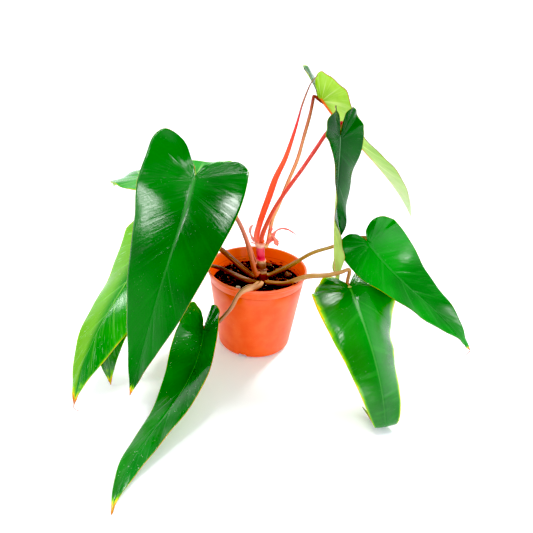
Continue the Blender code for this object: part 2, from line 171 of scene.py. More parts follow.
# Lengths in mm and angles in degrees, as in the solid: "at" is where the petiole meets the
# blade, with z above the soil; heading, pitch, roll and fold run base, middle, tip; lobes and
# sides are length and width of the two lobes and halves; tuck is where and how far a blade turns
# under. Only "wavy" isn't in the solid: how many times the usual height the margin's waves have.
LEAVES = {
    "big": dict(
        at=(-67, -52, 146), length=234, width=119, lobes=(16, 52), sides=(0.93, 1.04),
        heading=(-90, -120, -117), pitch=(-26, -62, -60), roll=(-10, 3, 13), fold=(6, 3, 11),
        cup=-14, lobe_curl=(7, 69),
    ),
    "back_left": dict(
        at=(-71.8, 16.4, 123), length=166, width=96, lobes=(35, 35), sides=(1.06, 1.00),
        heading=(169, 146, 121), pitch=(-10, -13, -41), roll=(-1, 11, 6), fold=(10, 5, 11),
        cup=-6, lobe_curl=(0, 2),
    ),
    "left": dict(
        at=(-112, -35, 74), length=206, width=100, lobes=(45, 45), sides=(1.04, 1.00),
        heading=(-111, -121, -114), pitch=(-35, -43, -74), roll=(-13, -7, 10), fold=(4, -6, 6),
        cup=-16, lobe_curl=(0, -1),
    ),
    "low_left": dict(
        at=(-106, -11, 18.4), length=165, width=77, lobes=(28, 28), sides=(0.98, 1.07),
        heading=(-145, -111, -59), pitch=(-11, -40, -74), roll=(0, -2, -1), fold=(6, 7, 7),
        cup=-8, lobe_curl=(0, 0),
    ),
    "front": dict(
        at=(-55, -74, -26), length=220.2, width=70, lobes=(24, 29), sides=(1.03, 0.92),
        heading=(-88, -114, -79), pitch=(-38, -12, -1), roll=(-9, -23, 7), fold=(50, 1, 8),
        cup=1, lobe_curl=(0, 1),
    ),
    "front_right": dict(
        wavy=2.4, at=(104, -54, 30), length=200, width=100, lobes=(30, 25), sides=(1.23, 0.85),
        heading=(-80, -64, -58), pitch=(-9, -52, -87), roll=(-7, 10, -36), fold=(-5, -11, 10),
        cup=-22, lobe_curl=(0, -9), tuck=(0.78, -100),
    ),
    "right": dict(
        wavy=2.0, at=(123, -17, 70), length=179.0, width=75, lobes=(17, 18), sides=(1.05, 0.91),
        heading=(-34, -17, -4), pitch=(-44, -34, -54), roll=(-58, -32, -61), fold=(15, 9, 19),
        cup=1, lobe_curl=(-2, -8),
    ),
    "hanging": dict(
        wavy=3.2, at=(78, -24, 189), length=190, width=57, lobes=(26, 31), sides=(0.99, 0.97),
        heading=(-25, -8, 8), pitch=(-85, -86, -73), roll=(-20, -4, 36), fold=(13, 24, 41),
        cup=1, lobe_curl=(-11, -2),
    ),
    "top": dict(
        at=(58, 36, 215.7), length=194, width=102, lobes=(31, 30), sides=(1.01, 1.04),
        heading=(14, 8, 5), pitch=(-50, -43, -60), roll=(1, 0, 10), fold=(21, 18, 60),
        cup=-7, lobe_curl=(-3, 9),
    ),
}

# Where a petiole's last two points lie, in mm along the midrib and below it
UNDER_BLADE = ((1.0, 3.0), (9.0, 1.6))
ROOTED = 0.006

# Petioles, in mm as in the solid. Half widths run from the stem through the sheath's widest and
# its end to the blade; "channel" is how deep the sheath's upper side is hollowed.
PETIOLES = {
    "big": dict(
        points=((-2, -10, 16), (-10, -13, 47), (-15, -17, 64), (-23, -22, 85), (-42, -35, 123),
                (-57, -42, 146)),
        half=(3.0, 3.3, 2.6, 1.8), sheath=0.25, flat=0.8, channel=0.35,
    ),
    "back_left": dict(
        points=((-4, 9, 21), (-13, 11, 44), (-25, 13, 71), (-45, 15, 101), (-60, 14, 118)),
        half=(3.0, 3.0, 2.4, 1.7), sheath=0.25, flat=0.8, channel=0.35,
    ),
    "left": dict(
        points=((-5, 2, 6), (-13, 1, 12), (-31, -5, 31), (-45, -11, 46), (-67, -18, 62), (-93, -26, 74)),
        half=(3.0, 3.9, 2.7, 2.0), sheath=0.45, flat=0.72, channel=0.5,
    ),
    "low_left": dict(
        points=((-5, -11, 5), (-14, -12, 7.5), (-27, -13, 14), (-42, -13, 21), (-60, -13, 24),
                (-84, -8, 18)),
        half=(3.2, 4.8, 2.5, 1.8), sheath=0.36, flat=0.6, channel=0.6,
    ),
    "front": dict(
        points=((4, -14, 5), (0, -35, 12), ("rim", -97, 0, 4.4), ("rim", -103, 6, 1.5),
                ("rim", -106, 13, -4), (-24, -74, 7), (-31, -76, -3), (-40, -76, -14)),
        half=(2.6, 5.4, 2.6, 2.0), sheath=0.34, flat=0.5, channel=0.6,
    ),
    "front_right": dict(
        points=((16, -11, 5), (33, -25, 13), ("rim", -37, 0, 7), (60, -39, 32), (77, -44, 37),
                (92, -47, 43), (102, -49, 48)),
        half=(3.6, 3.9, 2.6, 1.8), sheath=0.48, flat=0.65, near=(9.0, 1.0), channel=0.5,
    ),
    "right": dict(
        points=((17, 1, 10), (39, -2, 25), (63, -4, 44), (86, -6, 55), (106, -8, 66)),
        half=(3.2, 3.1, 2.4, 1.8), sheath=0.3, flat=0.75, channel=0.45,
    ),
    "hanging": dict(
        points=((3, -4, 56), (5, -3, 68), (15, -3, 95), (28, -4, 120), (42, -6, 144), (56, -8, 170),
                (66, -9, 188), (76, -9, 197), (84, -12, 198)),
        half=(2.8, 2.9, 2.5, 1.6), sheath=0.2, flat=0.85, channel=0.25,
    ),
    "top": dict(
        points=((10, 5, 48), (14, 7, 78), (20, 9, 96), (30, 14, 126), (38, 19, 149), (43, 24, 172),
                (48, 29, 196), (50, 32, 210)),
        half=(2.6, 2.6, 2.3, 1.6), sheath=0.3, flat=0.85, channel=0.4,
    ),
}

# The unopened leaf, in mm: its sheath, and the rolled blade that stands out of it
SHEATH_POINTS = (
    (-1.5, 2.5, 50), (-3, 3.5, 60), (1, 4, 80), (8, 5, 105), (15, 6, 130), (24, 6, 153), (31, 7, 179),
    (36, 8, 202),
)
ROLLED_POINTS = ((34, 7.6, 194), (36.4, 8, 205), (38, 8, 212), (41, 9, 222), (45, 9, 233), (51, 9, 241))
SEAM_TURN = 0.90

# Shares along them, and half the width or thickness there in mm
SHEATH_WIDE = ((0, 0.12, 0.45, 0.75, 1), (3.6, 3.7, 4.3, 2.9, 1.15))
SHEATH_THICK = ((0, 0.12, 0.5, 0.75, 1), (3.4, 3.5, 3.7, 2.4, 1.05))
ROLLED_WIDE = ((0, 0.5, 1), (1.25, 1.15, 0.45))

# Torn strips of the two dried sheaths: points, half widths, the side they start with and how
# far they roll
OLD_CURL = (
    (((9, -3, 53), (13, -5, 58), (16, -7, 64), (18, -8, 70), (22, -9, 74), (27, -10, 76), (33, -12, 76),
      (38, -13, 73.5), (42, -13, 70)), (2.2, 3.6, 3.2, 2.0, 1.7, 1.4, 0.9), (0.55, 0.35, -0.55), 1.0),
    (((14, -8, 68), (18, -10, 63), (21, -11, 58), (22.5, -11, 54)), (1.2, 2.8, 3.2, 2.4),
     (0.8, 0.45, 0.35), 1.2),
    (((12, -3, 66), (13.5, -3.5, 71), (14, -4, 76)), (2.6, 2.0, 0.4), (0.9, 0.2, 0.1), 0.9),
)
OLD_SCRAP = (
    (((-5, -5, 55), (-8, -6, 61), (-10.5, -7, 67), (-10, -7, 73), (-7.5, -7, 77)),
     (1.4, 2.4, 2.2, 1.6, 0.8), (0.9, -0.2, -0.3), 1.2),
    (((-4, -6, 53), (-7, -8, 54.5), (-9.5, -9, 56)), (1.8, 1.2, 0.3), (0.3, 0.4, 0.8), 0.9),
)
ROOTS = {
    "root_back": ((22, 26, 2.6), (30, 31, 5.5), (38, 30, 4.2), (44, 24, 2.8)),
    "root_right": ((27, 4, 2.4), (34, 1, 4.6), (41, -3, 3.2), (45, -9, 2.6)),
}


# ---- colours and node materials

def tone(colour):
    """A screen colour, 0 to 255, as the light values that nodes use. A node's output stays as it is."""
    if isinstance(colour, bpy.types.NodeSocket):
        return colour
    light = [
        share / 12.92 if share <= 0.04045 else ((share + 0.055) / 1.055) ** 2.4
        for share in (value / 255 for value in colour)
    ]
    return (*light, 1.0)


class Finish:
    """A node material, built up in coats of colour.

    Each method adds a node and gives back the output that the next one takes. Colours are screen
    colours or such outputs, and everything given by name is set on the shader's own socket.
    """

    def __init__(self, name, **constants):
        self.material = bpy.data.materials.new(name)
        self.material.use_nodes = True
        self.tree = self.material.node_tree
        self.shader = self.tree.nodes["Principled BSDF"]
        self.colour = None
        places = self.put("TexCoord", {})
        self.place = places.outputs["Object"]
        self.uv = places.outputs["UV"]
        for socket, value in constants.items():
            self.shader.inputs[socket.replace("_", " ")].default_value = value

    def put(self, kind, values, **settings):
        made = self.tree.nodes.new("ShaderNode" + kind)
        for key, value in settings.items():
            setattr(made, key, value)
        for key, value in values.items():
            if isinstance(value, bpy.types.NodeSocket):
                self.tree.links.new(value, made.inputs[key])
            else:
                made.inputs[key].default_value = value
        return made

    def math(self, operation, *values):
        return self.put("Math", dict(enumerate(values)), operation=operation).outputs[0]

    def times(self, first, second):
        return self.math("MULTIPLY", first, second)

    def add(self, first, second):
        return self.math("ADD", first, second)

    def less(self, first, second):
        return self.math("SUBTRACT", first, second)

    def scaled(self, value, by, plus):
        return self.math("MULTIPLY_ADD", value, by, plus)

    def both(self, *masks):
        product = masks[0]
        for mask in masks[1:]:
            product = self.times(product, mask)
        return product

    def split(self, vector):
        return self.put("SeparateXYZ", {0: vector}).outputs

    def stretch(self, vector, scale, offset=(0, 0, 0)):
        return self.put("Mapping", {"Vector": vector, "Scale": scale, "Location": offset}).outputs[0]

    def noise(self, scale, detail, roughness=0.55, on=None):
        """Even noise in the piece's own metres, or on another vector."""
        values = {"Vector": self.place if on is None else on}
        values.update(Scale=scale, Detail=detail, Roughness=roughness)
        return self.put("TexNoise", values).outputs["Fac"]

    def soft(self, value, low, high):
        """0 at low, 1 at high, smooth between them."""
        values = {"Value": value, "From Min": low, "From Max": high}
        return self.put("MapRange", values, interpolation_type="SMOOTHSTEP").outputs[0]

    def near(self, value, middle, half, fade):
        """1 within half of the middle, fading to 0."""
        return self.soft(self.math("ABSOLUTE", self.less(value, middle)), half + fade, half)

    def mix(self, share, first, second):
        return self.put("Mix", {0: share, 6: tone(first), 7: tone(second)}, data_type="RGBA").outputs[2]

    def coat(self, colour, *masks):
        """Lays a colour over what is there, as strongly as the product of the masks."""
        self.colour = self.mix(self.both(*masks), self.colour, colour)

    def ramp(self, value, stops):
        made = self.put("ValToRGB", {0: value})
        elements = made.color_ramp.elements
        elements.remove(elements[1])
        elements[0].position, elements[0].color = stops[0][0], tone(stops[0][1])
        for position, colour in stops[1:]:
            elements.new(position).color = tone(colour)
        return made.outputs[0]

    def bump(self, height, distance, strength):
        return self.put("Bump", {"Height": height, "Distance": distance, "Strength": strength}).outputs[0]

    def wear(self, roughness=None, normal=None):
        """Links the coats and the patterns given to the shader."""
        for socket, value in (("Base Color", self.colour), ("Roughness", roughness), ("Normal", normal)):
            if value is not None:
                self.tree.links.new(value, self.shader.inputs[socket])
        return self.material


# ---- leaf finishes

FRESH = (8, 140, 10)
LIME = (110, 190, 20)
PALE = (190, 222, 110)
YELLOW = (225, 200, 30)
ORANGE = (225, 110, 20)
CREAM = (250, 225, 190)
WHITE = (235, 245, 225)

# Leaves whose margin is rust coloured rather than green
RUSTY_RIMS = ("left", "front", "front_right", "big")

# deep and fresh: the upper side's two greens; sunny: how far one half is painted lime, painted light
# on the lit half; vein and veining: colour and strength of the side veins; rib: the midrib; tip and
# edge: how far the yellowing reaches; streaks and specks: how much of each shows; shine: how strongly
# the upper side reflects; under and under_rib: the underside; pale_tip: how far its tip is painted
# whitish, painted backlight and highlight
PLAIN_LOOK = dict(shine=0.5, sunny=0.0, veining=0.2, pale_tip=0.0)
LOOKS = {
    "big": dict(
        shine=0.4, deep=(0, 82, 2), fresh=(2, 106, 4), vein=(20, 130, 20), veining=0.12,
        rib=(30, 126, 26), tip=0.03, edge=0.0015, streaks=0.03, specks=0.1, under=(110, 170, 60),
        under_rib=(150, 190, 90),
    ),
    "back_left": dict(
        shine=0.1, deep=(8, 124, 14), fresh=(36, 154, 30), vein=(170, 220, 130), veining=0.4,
        rib=(170, 220, 120), tip=0.1, edge=0.012, streaks=0.5, specks=0.1, under=(130, 190, 80),
        under_rib=(180, 210, 120),
    ),
    "left": dict(
        shine=0.36, deep=(4, 120, 8), fresh=(30, 146, 16), sunny=0.42, vein=(120, 200, 70), veining=0.3,
        rib=(150, 205, 70), tip=0.085, edge=0.016, streaks=0.75, specks=0.5, under=(140, 190, 70),
        under_rib=(190, 200, 110),
    ),
    "low_left": dict(
        deep=(30, 104, 34), fresh=(64, 144, 56), vein=(120, 170, 106), veining=0.6, rib=(110, 150, 80),
        tip=0.08, edge=0.01, streaks=0.7, specks=0.4, under=(110, 150, 80), under_rib=(150, 170, 100),
    ),
    "front": dict(
        deep=(0, 106, 6), fresh=(4, 136, 16), sunny=0.02, vein=(50, 150, 60), rib=(110, 170, 90),
        tip=0.07, edge=0.007, streaks=0.3, specks=0.7, under=(120, 180, 60), under_rib=(190, 200, 110),
    ),
    "front_right": dict(
        deep=(0, 104, 2), fresh=(2, 128, 4), sunny=0.02, vein=(50, 160, 40), rib=(70, 160, 50),
        tip=0.09, edge=0.036, streaks=0.08, specks=0.12, under=(130, 180, 60),
        under_rib=(190, 200, 110),
    ),
    "right": dict(
        deep=(0, 112, 4), fresh=(4, 150, 6), vein=(50, 170, 50), veining=0.22, rib=(40, 150, 40),
        tip=0.03, edge=0.003, streaks=0.08, specks=0.1, under=(120, 180, 70), under_rib=(170, 195, 90),
    ),
    "hanging": dict(
        shine=0.34, deep=(0, 60, 2), fresh=(0, 92, 4), vein=(20, 110, 30), rib=(120, 160, 120),
        tip=0.03, edge=0.004, streaks=0.15, specks=0.05, under=(184, 216, 120),
        under_rib=(240, 176, 150),
    ),
    "top": dict(
        shine=0.2, deep=(0, 74, 8), fresh=(4, 106, 12), vein=(40, 130, 40), rib=(120, 160, 80),
        tip=0.04, edge=0.01, streaks=0.15, specks=0.02, under=(156, 206, 30), under_rib=(240, 110, 50),
        pale_tip=0.75,
    ),
}


def leaf_shares(finish):
    """Along the blade, real share across it, and which half."""
    along, across, _ = finish.split(finish.uv)
    aside = finish.math("ABSOLUTE", finish.scaled(across, 2.0, -1.0))
    way = finish.math("POWER", aside, RIB_SPREAD)
    half = finish.math("GREATER_THAN", across, 0.5)
    return along, way, half


def vein_lines(finish, along, way, half, width):
    """Thin lines that leave the midrib by turns on its two sides."""
    phase = finish.times(along, float(SIDE_VEINS))
    phase = finish.add(phase, finish.times(half, VEIN_LAG))
    place = finish.math("FRACT", phase)
    return finish.both(finish.near(place, 0.5, width, width * 2.2), finish.soft(way, 1.02, 0.35))


def leaf_streaks(finish, crowd, long, seed):
    """Fine streaks that run as the side veins do."""
    lying = finish.stretch(finish.uv, (crowd, long, 1.0), (seed, seed * 0.7, 0.0))
    return finish.noise(1.0, 5.0, 0.62, on=lying)


def leaf_upper(name, look, seed):
    finish = Finish(f"leaf_upper_{name}", Specular_IOR_Level=look["shine"])
    along, way, half = leaf_shares(finish)
    patches = finish.noise(13.0, 2.0)
    streaks = leaf_streaks(finish, 95.0, 2.4, seed)
    fine = leaf_streaks(finish, 330.0, 5.0, seed + 3.0)
    finish.colour = finish.mix(finish.soft(patches, 0.36, 0.66), look["deep"], look["fresh"])
    # the half painted lime as painted light on the lit side, then the streaks and the side veins
    finish.coat((150, 205, 40), finish.soft(way, 0.0, 0.55), finish.less(1.0, half), look["sunny"])
    finish.coat(look["vein"], finish.soft(streaks, 0.50, 0.72), 0.22)
    pale = finish.mix(0.55, look["vein"], WHITE)
    finish.coat(pale, finish.soft(fine, 0.58, 0.74), finish.soft(way, 0.1, 0.75), look["streaks"])
    veins = vein_lines(finish, along, way, half, 0.02)
    finish.coat(look["vein"], veins, look["veining"])
    # the yellowing of the tip, then of the margin
    tip, margin = look["tip"], look["edge"]
    wander = finish.less(finish.noise(45.0, 4.0), 0.5)
    reach = finish.add(along, finish.times(wander, 2.2 * tip))
    reach = finish.add(reach, finish.scaled(way, 1.5 * tip, -1.1 * tip))
    yellowing = finish.soft(reach, 1.0 - 1.6 * tip, 1.0)
    ageing = ((0.0, look["fresh"]), (0.3, LIME), (0.6, YELLOW), (0.9, ORANGE), (1.0, (190, 90, 30)))
    finish.coat(finish.ramp(yellowing, ageing), finish.soft(yellowing, 0.02, 0.4))
    edge = finish.add(way, finish.times(wander, 8.0 * margin))
    finish.coat(LIME, finish.soft(edge, 1.0 - 4.5 * margin, 1.0 - 0.5 * margin))
    finish.coat(YELLOW, finish.soft(edge, 1.0 - 1.5 * margin, 1.0))
    # the midrib and the dust
    finish.coat(look["rib"], finish.soft(way, 0.026, 0.008), finish.soft(along, 1.0, 0.55), 0.75)
    specks = finish.soft(finish.noise(620.0, 1.0), 0.725, 0.76)
    dust = finish.soft(finish.noise(38.0, 2.0), 0.48, 0.62)
    finish.coat(WHITE, specks, dust, look["specks"])
    rough = finish.scaled(finish.soft(fine, 0.40, 0.62), 0.16, 0.07)
    rough = finish.add(rough, finish.times(finish.soft(way, 0.06, 0.015), 0.34))
    height = finish.add(finish.times(streaks, 0.5), finish.times(fine, 0.3))
    height = finish.less(height, finish.times(veins, 0.3))
    return finish.wear(rough, finish.bump(height, 0.0007, 0.6))


def leaf_under(name, look, seed):
    finish = Finish(f"leaf_underside_{name}", Specular_IOR_Level=0.3)
    along, way, half = leaf_shares(finish)
    streaks = leaf_streaks(finish, 120.0, 3.0, seed)
    patches = finish.noise(22.0, 3.0)
    darker = finish.mix(0.35, look["under"], FRESH)
    finish.colour = finish.mix(finish.soft(patches, 0.35, 0.65), look["under"], darker)
    finish.coat(PALE, finish.soft(streaks, 0.45, 0.7), 0.4)
    veins = vein_lines(finish, along, way, half, 0.03)
    finish.coat(PALE, veins, 0.8)
    finish.coat(ORANGE, finish.soft(way, 0.985, 0.997))
    finish.coat(look["under_rib"], finish.soft(way, 0.07, 0.035))
    # the tip painted whitish: painted backlight and highlight on the underside
    painted_backlight_tip = finish.both(finish.soft(along, 0.62, 0.96), look["pale_tip"])
    finish.coat((226, 242, 204), painted_backlight_tip)
    height = finish.add(finish.times(streaks, 0.6), veins)
    rough = finish.scaled(patches, 0.2, 0.42)
    return finish.wear(rough, finish.bump(height, 0.0006, 0.5))


def leaf_rim(name, stops):
    finish = Finish(name, Specular_IOR_Level=0.3, Roughness=0.5)
    patches = finish.noise(70.0, 3.0)
    finish.colour = finish.ramp(patches, stops)
    return finish.wear(normal=finish.bump(patches, 0.0003, 0.4))


# ---- stalk, stem and sheath finishes

# foot, middle and end colours along the petiole, then its channel, which also paints the shade in its
# groove, and its underside
STALK_COLOURS = {
    "big": ((236, 130, 96), (214, 128, 106), (150, 96, 60), (150, 84, 60), (170, 80, 50)),
    "back_left": ((220, 130, 100), (200, 130, 90), (140, 130, 60), (120, 70, 50), (150, 80, 50)),
    "left": ((150, 86, 40), (126, 66, 16), (120, 84, 30), (60, 26, 10), (104, 48, 12)),
    "low_left": ((160, 96, 60), (92, 48, 20), (140, 104, 50), (40, 18, 10), (86, 40, 14)),
    "front": ((226, 168, 122), (206, 140, 100), (150, 96, 80), (120, 70, 30), (180, 110, 70)),
    "front_right": ((170, 110, 62), (190, 140, 76), (178, 130, 78), (140, 96, 40), (190, 100, 66)),
    "right": ((150, 96, 40), (178, 140, 60), (170, 130, 70), (96, 70, 24), (150, 110, 50)),
    "hanging": ((255, 112, 62), (240, 90, 74), (150, 20, 44), (226, 84, 66), (190, 40, 50)),
    "top": ((244, 196, 140), (234, 158, 110), (130, 28, 26), (150, 60, 26), (110, 30, 16)),
    "rolled_leaf": ((200, 70, 70), (170, 90, 60), (130, 80, 50), (110, 40, 40), (180, 110, 60)),
}


def stalk_finish(name, colours):
    foot, middle, end, channel, below = colours
    finish = Finish(f"petiole_skin_{name}", Specular_IOR_Level=0.35)
    along, around, _ = finish.split(finish.uv)
    stops = ((0.0, foot), (0.15, foot), (0.44, middle), (0.76, end), (1.0, end))
    finish.colour = finish.ramp(along, stops)
    fibres = finish.noise(1.0, 4.0, on=finish.stretch(finish.uv, (5.0, 34.0, 1.0)))
    finish.coat(channel, finish.soft(fibres, 0.52, 0.75), 0.35)
    finish.coat(CREAM, finish.soft(fibres, 0.46, 0.3), 0.35)
    finish.coat(below, finish.near(around, 0.75, 0.08, 0.12), 0.6)
    # a darker line painted along the top groove: painted shade in the channel
    finish.coat(channel, finish.near(around, 0.25, 0.02, 0.035))
    flecks = finish.noise(700.0, 2.0)
    finish.coat(CREAM, finish.soft(flecks, 0.66, 0.72), 0.5)
    height = finish.add(fibres, finish.times(flecks, 0.3))
    roughness = finish.scaled(fibres, 0.2, 0.28)
    return finish.wear(roughness, finish.bump(height, 0.0005, 0.5))


def stem_finish():
    """Brown below, pink above, with a pale papery line at each ring."""
    finish = Finish("stem_bark", Specular_IOR_Level=0.35)
    height = finish.split(finish.place)[2]
    share = finish.math("DIVIDE", finish.less(height, SOIL_TOP), STEM_LENGTH)
    blotch = finish.noise(420.0, 4.0, on=finish.stretch(finish.place, (1.0, 1.0, 0.35)))
    share = finish.add(share, finish.times(finish.less(blotch, 0.5), 0.05))
    finish.colour = finish.ramp(share, (
        (0.00, (96, 40, 24)), (0.22, (150, 64, 40)), (0.27, (240, 200, 160)),
        (0.33, (120, 66, 50)), (0.48, (158, 110, 86)), (0.53, (250, 220, 170)),
        (0.58, (238, 50, 84)), (0.86, (246, 90, 116)), (0.91, (255, 214, 190)), (1.0, (240, 130, 110)),
    ))
    finish.coat((160, 40, 56), finish.soft(blotch, 0.5, 0.75), 0.5)
    return finish.wear(finish.soft(blotch, -0.4, 1.6), finish.bump(blotch, 0.0006, 0.6))


def sheath_finish():
    """Glossy coral red, ribbed, darker along the open seam."""
    foot, middle, tip, stripe = (255, 150, 130), (255, 84, 54), (232, 34, 60), (120, 24, 50)
    finish = Finish("new_leaf_sheath_skin", Specular_IOR_Level=0.35)
    along, around, _ = finish.split(finish.uv)
    ribs = finish.noise(1.0, 4.0, on=finish.stretch(finish.uv, (3.0, 46.0, 1.0)))
    finish.colour = finish.ramp(along, ((0.0, foot), (0.3, middle), (0.75, middle), (1.0, tip)))
    finish.coat((255, 150, 120), finish.soft(ribs, 0.48, 0.75), 0.55)
    finish.coat((214, 20, 40), finish.soft(ribs, 0.45, 0.25), 0.3)
    finish.coat(stripe, finish.near(around, SEAM_TURN, 0.025, 0.045), finish.soft(along, 0.75, 0.45))
    return finish.wear(finish.soft(ribs, -0.8, 1.5), finish.bump(ribs, 0.0005, 0.5))


def dried_finish(name, pale, deep):
    finish = Finish(name, Specular_IOR_Level=0.3, Roughness=0.5)
    around = finish.split(finish.uv)[1]
    ribs = finish.noise(1.0, 4.0, on=finish.stretch(finish.uv, (4.0, 22.0, 1.0)))
    finish.colour = finish.mix(finish.soft(ribs, 0.35, 0.65), pale, deep)
    edge = finish.near(around, 0.5, 0.32, 0.16)
    finish.colour = finish.mix(finish.both(edge, 0.55), deep, finish.colour)
    return finish.wear(normal=finish.bump(ribs, 0.0005, 0.6))


# ---- pot and soil finishes

def pot_finish():
    finish = Finish("orange_nursery_plastic", Specular_IOR_Level=0.5)
    x, y, z = finish.split(finish.place)
    mottle = finish.noise(60.0, 4.0)
    grain = finish.noise(1500.0, 2.0)
    scuffs = finish.noise(160.0, 5.0, 0.7, on=finish.stretch(finish.place, (1.0, 1.0, 3.0)))
    finish.colour = finish.mix(finish.soft(mottle, 0.3, 0.7), (250, 88, 36), (255, 104, 50))
    reach = finish.math("SQRT", finish.add(finish.times(x, x), finish.times(y, y)))
    slope = (RIM_RADIUS - LIP_OUT - BASE_RADIUS) / POT_HEIGHT
    depth = finish.less(finish.add(finish.times(z, slope), BASE_RADIUS), reach)
    inside = finish.soft(depth, WALL * 0.5, WALL * 0.8)
    # the inside painted a brighter, redder orange: painted light shining through the thin wall
    finish.coat(finish.mix(mottle, (255, 88, 16), (255, 112, 34)), inside)
    finish.coat((255, 170, 140), finish.soft(scuffs, 0.62, 0.74), 0.22)
    # the lip painted a paler salmon: a painted highlight along the rim
    rim_painted_highlight = finish.soft(z, POT_HEIGHT - 0.0032, POT_HEIGHT - 0.0008)
    finish.coat((255, 150, 122), rim_painted_highlight, 0.22)
    # a darker line painted round the step: painted shade in its groove
    finish.coat((200, 50, 16), finish.near(z, STEP, 0.0002, 0.0004), 0.4)
    finish.coat((150, 60, 30), finish.soft(z, 0.010, 0.0), finish.soft(scuffs, 0.42, 0.7), 0.4)
    splash = finish.soft(z, SOIL_TOP + SPLASH, SOIL_TOP)
    finish.coat((60, 28, 16), inside, splash, finish.soft(scuffs, 0.56, 0.62))
    rough = finish.scaled(scuffs, 0.2, 0.26)
    height = finish.add(finish.times(grain, 0.2), finish.times(scuffs, 0.25))
    return finish.wear(rough, finish.bump(height, 0.0002, 0.25))


def earth_finish(name, dark, light, scale, specks=0.0):
    finish = Finish(name, Specular_IOR_Level=0.2)
    grain = finish.noise(scale, 5.0, 0.7)
    spots = finish.noise(scale * 3.1, 3.0)
    finish.colour = finish.mix(finish.soft(grain, 0.35, 0.68), dark, light)
    finish.coat((200, 150, 110), finish.soft(spots, 0.66, 0.72), specks)
    rough = finish.soft(grain, -1.6, 0.9)
    return finish.wear(rough, finish.bump(finish.add(grain, spots), 0.001, 0.9))


def floor_finish():
    glow = {"Emission_Color": tone((238, 236, 255)), "Emission_Strength": PAPER_GLOW}
    finish = Finish("studio_paper", Specular_IOR_Level=0.15, Roughness=0.9, **glow)
    grain = finish.noise(30.0, 3.0)
    finish.colour = finish.mix(grain, (243, 244, 248), (246, 247, 251))
    return finish.wear()


# ---- shared shapes

def spline(points, shares):
    """Points of a smooth curve through the given points, at shares 0..1 of its spans."""
    points = np.asarray(points, float)
    spans = len(points) - 1
    ends = np.vstack([2 * points[0] - points[1], points, 2 * points[-1] - points[-2]])
    along = np.clip(np.asarray(shares, float), 0, 1) * spans
    index = np.minimum(along.astype(int), spans - 1)
    t = (along - index)[:, None]
    a, b, c, d = ends[index], ends[index + 1], ends[index + 2], ends[index + 3]
    return 0.5 * (
        2 * b + (c - a) * t + (2 * a - 5 * b + 4 * c - d) * t**2 + (3 * b - a - 3 * c + d) * t**3
    )


def three(values, x):
    """A value that runs smoothly from base through middle to tip."""
    base, middle, tip = values
    return base * (2 * x - 1) * (x - 1) + middle * 4 * x * (1 - x) + tip * x * (2 * x - 1)


def smoothstep(x):
    x = np.clip(x, 0, 1)
    return x * x * (3 - 2 * x)


def placed(points):
    """Plant points in metres, from mm above the soil or ("rim", turn, out, up) from the pot's rim."""
    found = []
    for point in points:
        if point[0] == "rim":
            _, turn, out, up = point
            reach, angle = RIM_RADIUS + out * MM, math.radians(turn)
            found.append((reach * math.cos(angle), reach * math.sin(angle), POT_HEIGHT + up * MM))
        else:
            x, y, z = point
            found.append((x * MM, y * MM, SOIL_TOP + z * MM))
    return np.array(found)


def patch(rows, columns, place):
    """A grid with its own UV map laid on a surface: place(along, across) turns shares into points."""
    bm = bmesh.new()
    bm.loops.layers.uv.new("UVMap")
    bmesh.ops.create_grid(bm, x_segments=rows, y_segments=columns, size=0.5, calc_uvs=True)
    shares = np.array([vert.co[:2] for vert in bm.verts]) + 0.5
    for vert, point in zip(bm.verts, place(shares[:, 0], shares[:, 1])):
        vert.co = point
    return bm


def close_tube(bm):
    """Joins a patch that has been wrapped round into a tube, and fills its two ends."""
    bmesh.ops.remove_doubles(bm, verts=bm.verts, dist=MERGE)
    bmesh.ops.holes_fill(bm, edges=[edge for edge in bm.edges if edge.is_boundary])
    bmesh.ops.recalc_face_normals(bm, faces=bm.faces)
    return bm


def turned(outline, steps):
    """A closed shape turned round the upright axis from radius and height points."""
    bm = bmesh.new()
    verts = [bm.verts.new((radius, 0, z)) for radius, z in outline]
    edges = [bm.edges.new(pair) for pair in zip(verts, verts[1:])]
    bmesh.ops.spin(
        bm, geom=verts + edges, cent=(0, 0, 0), axis=(0, 0, 1), angle=2 * math.pi, steps=steps,
        use_merge=True,
    )
    bmesh.ops.remove_doubles(bm, verts=bm.verts, dist=MERGE)
    bmesh.ops.recalc_face_normals(bm, faces=bm.faces)
    return bm


def mesh_of(name, bm):
    mesh = bpy.data.meshes.new(name)
    bm.to_mesh(mesh)
    bm.free()
    return mesh


def in_scene(name, data):
    made = bpy.data.objects.new(name, data)
    bpy.context.scene.collection.objects.link(made)
    return made


def piece(name, bm, finishes, stands_for=(), smooth=True):
    """One named object of the plant or the pot, riding on the part's only body."""
    mesh = mesh_of(name, bm)
    if smooth:
        mesh.shade_smooth()
    for finish in finishes:
        mesh.materials.append(finish)
    made = in_scene(name, mesh)
    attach(made, "root")
    if stands_for:
        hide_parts(*stands_for)
    return made


# ---- leaves

def bent(leaf, x):
    """Pitch along the midrib, with a sharp tuck under where a blade meets the ground."""
    pitch = np.radians(three(leaf["pitch"], x))
    if "tuck" in leaf:
        share, turn = leaf["tuck"]
        pitch = pitch + math.radians(turn) * smoothstep((x - share) / TUCK_SHARE)
    return pitch


def direction(leaf, x):
    heading = np.radians(three(leaf["heading"], x))
    pitch = bent(leaf, x)
    return np.stack(
        [np.cos(heading) * np.cos(pitch), np.sin(heading) * np.cos(pitch), np.sin(pitch)], -1
    )


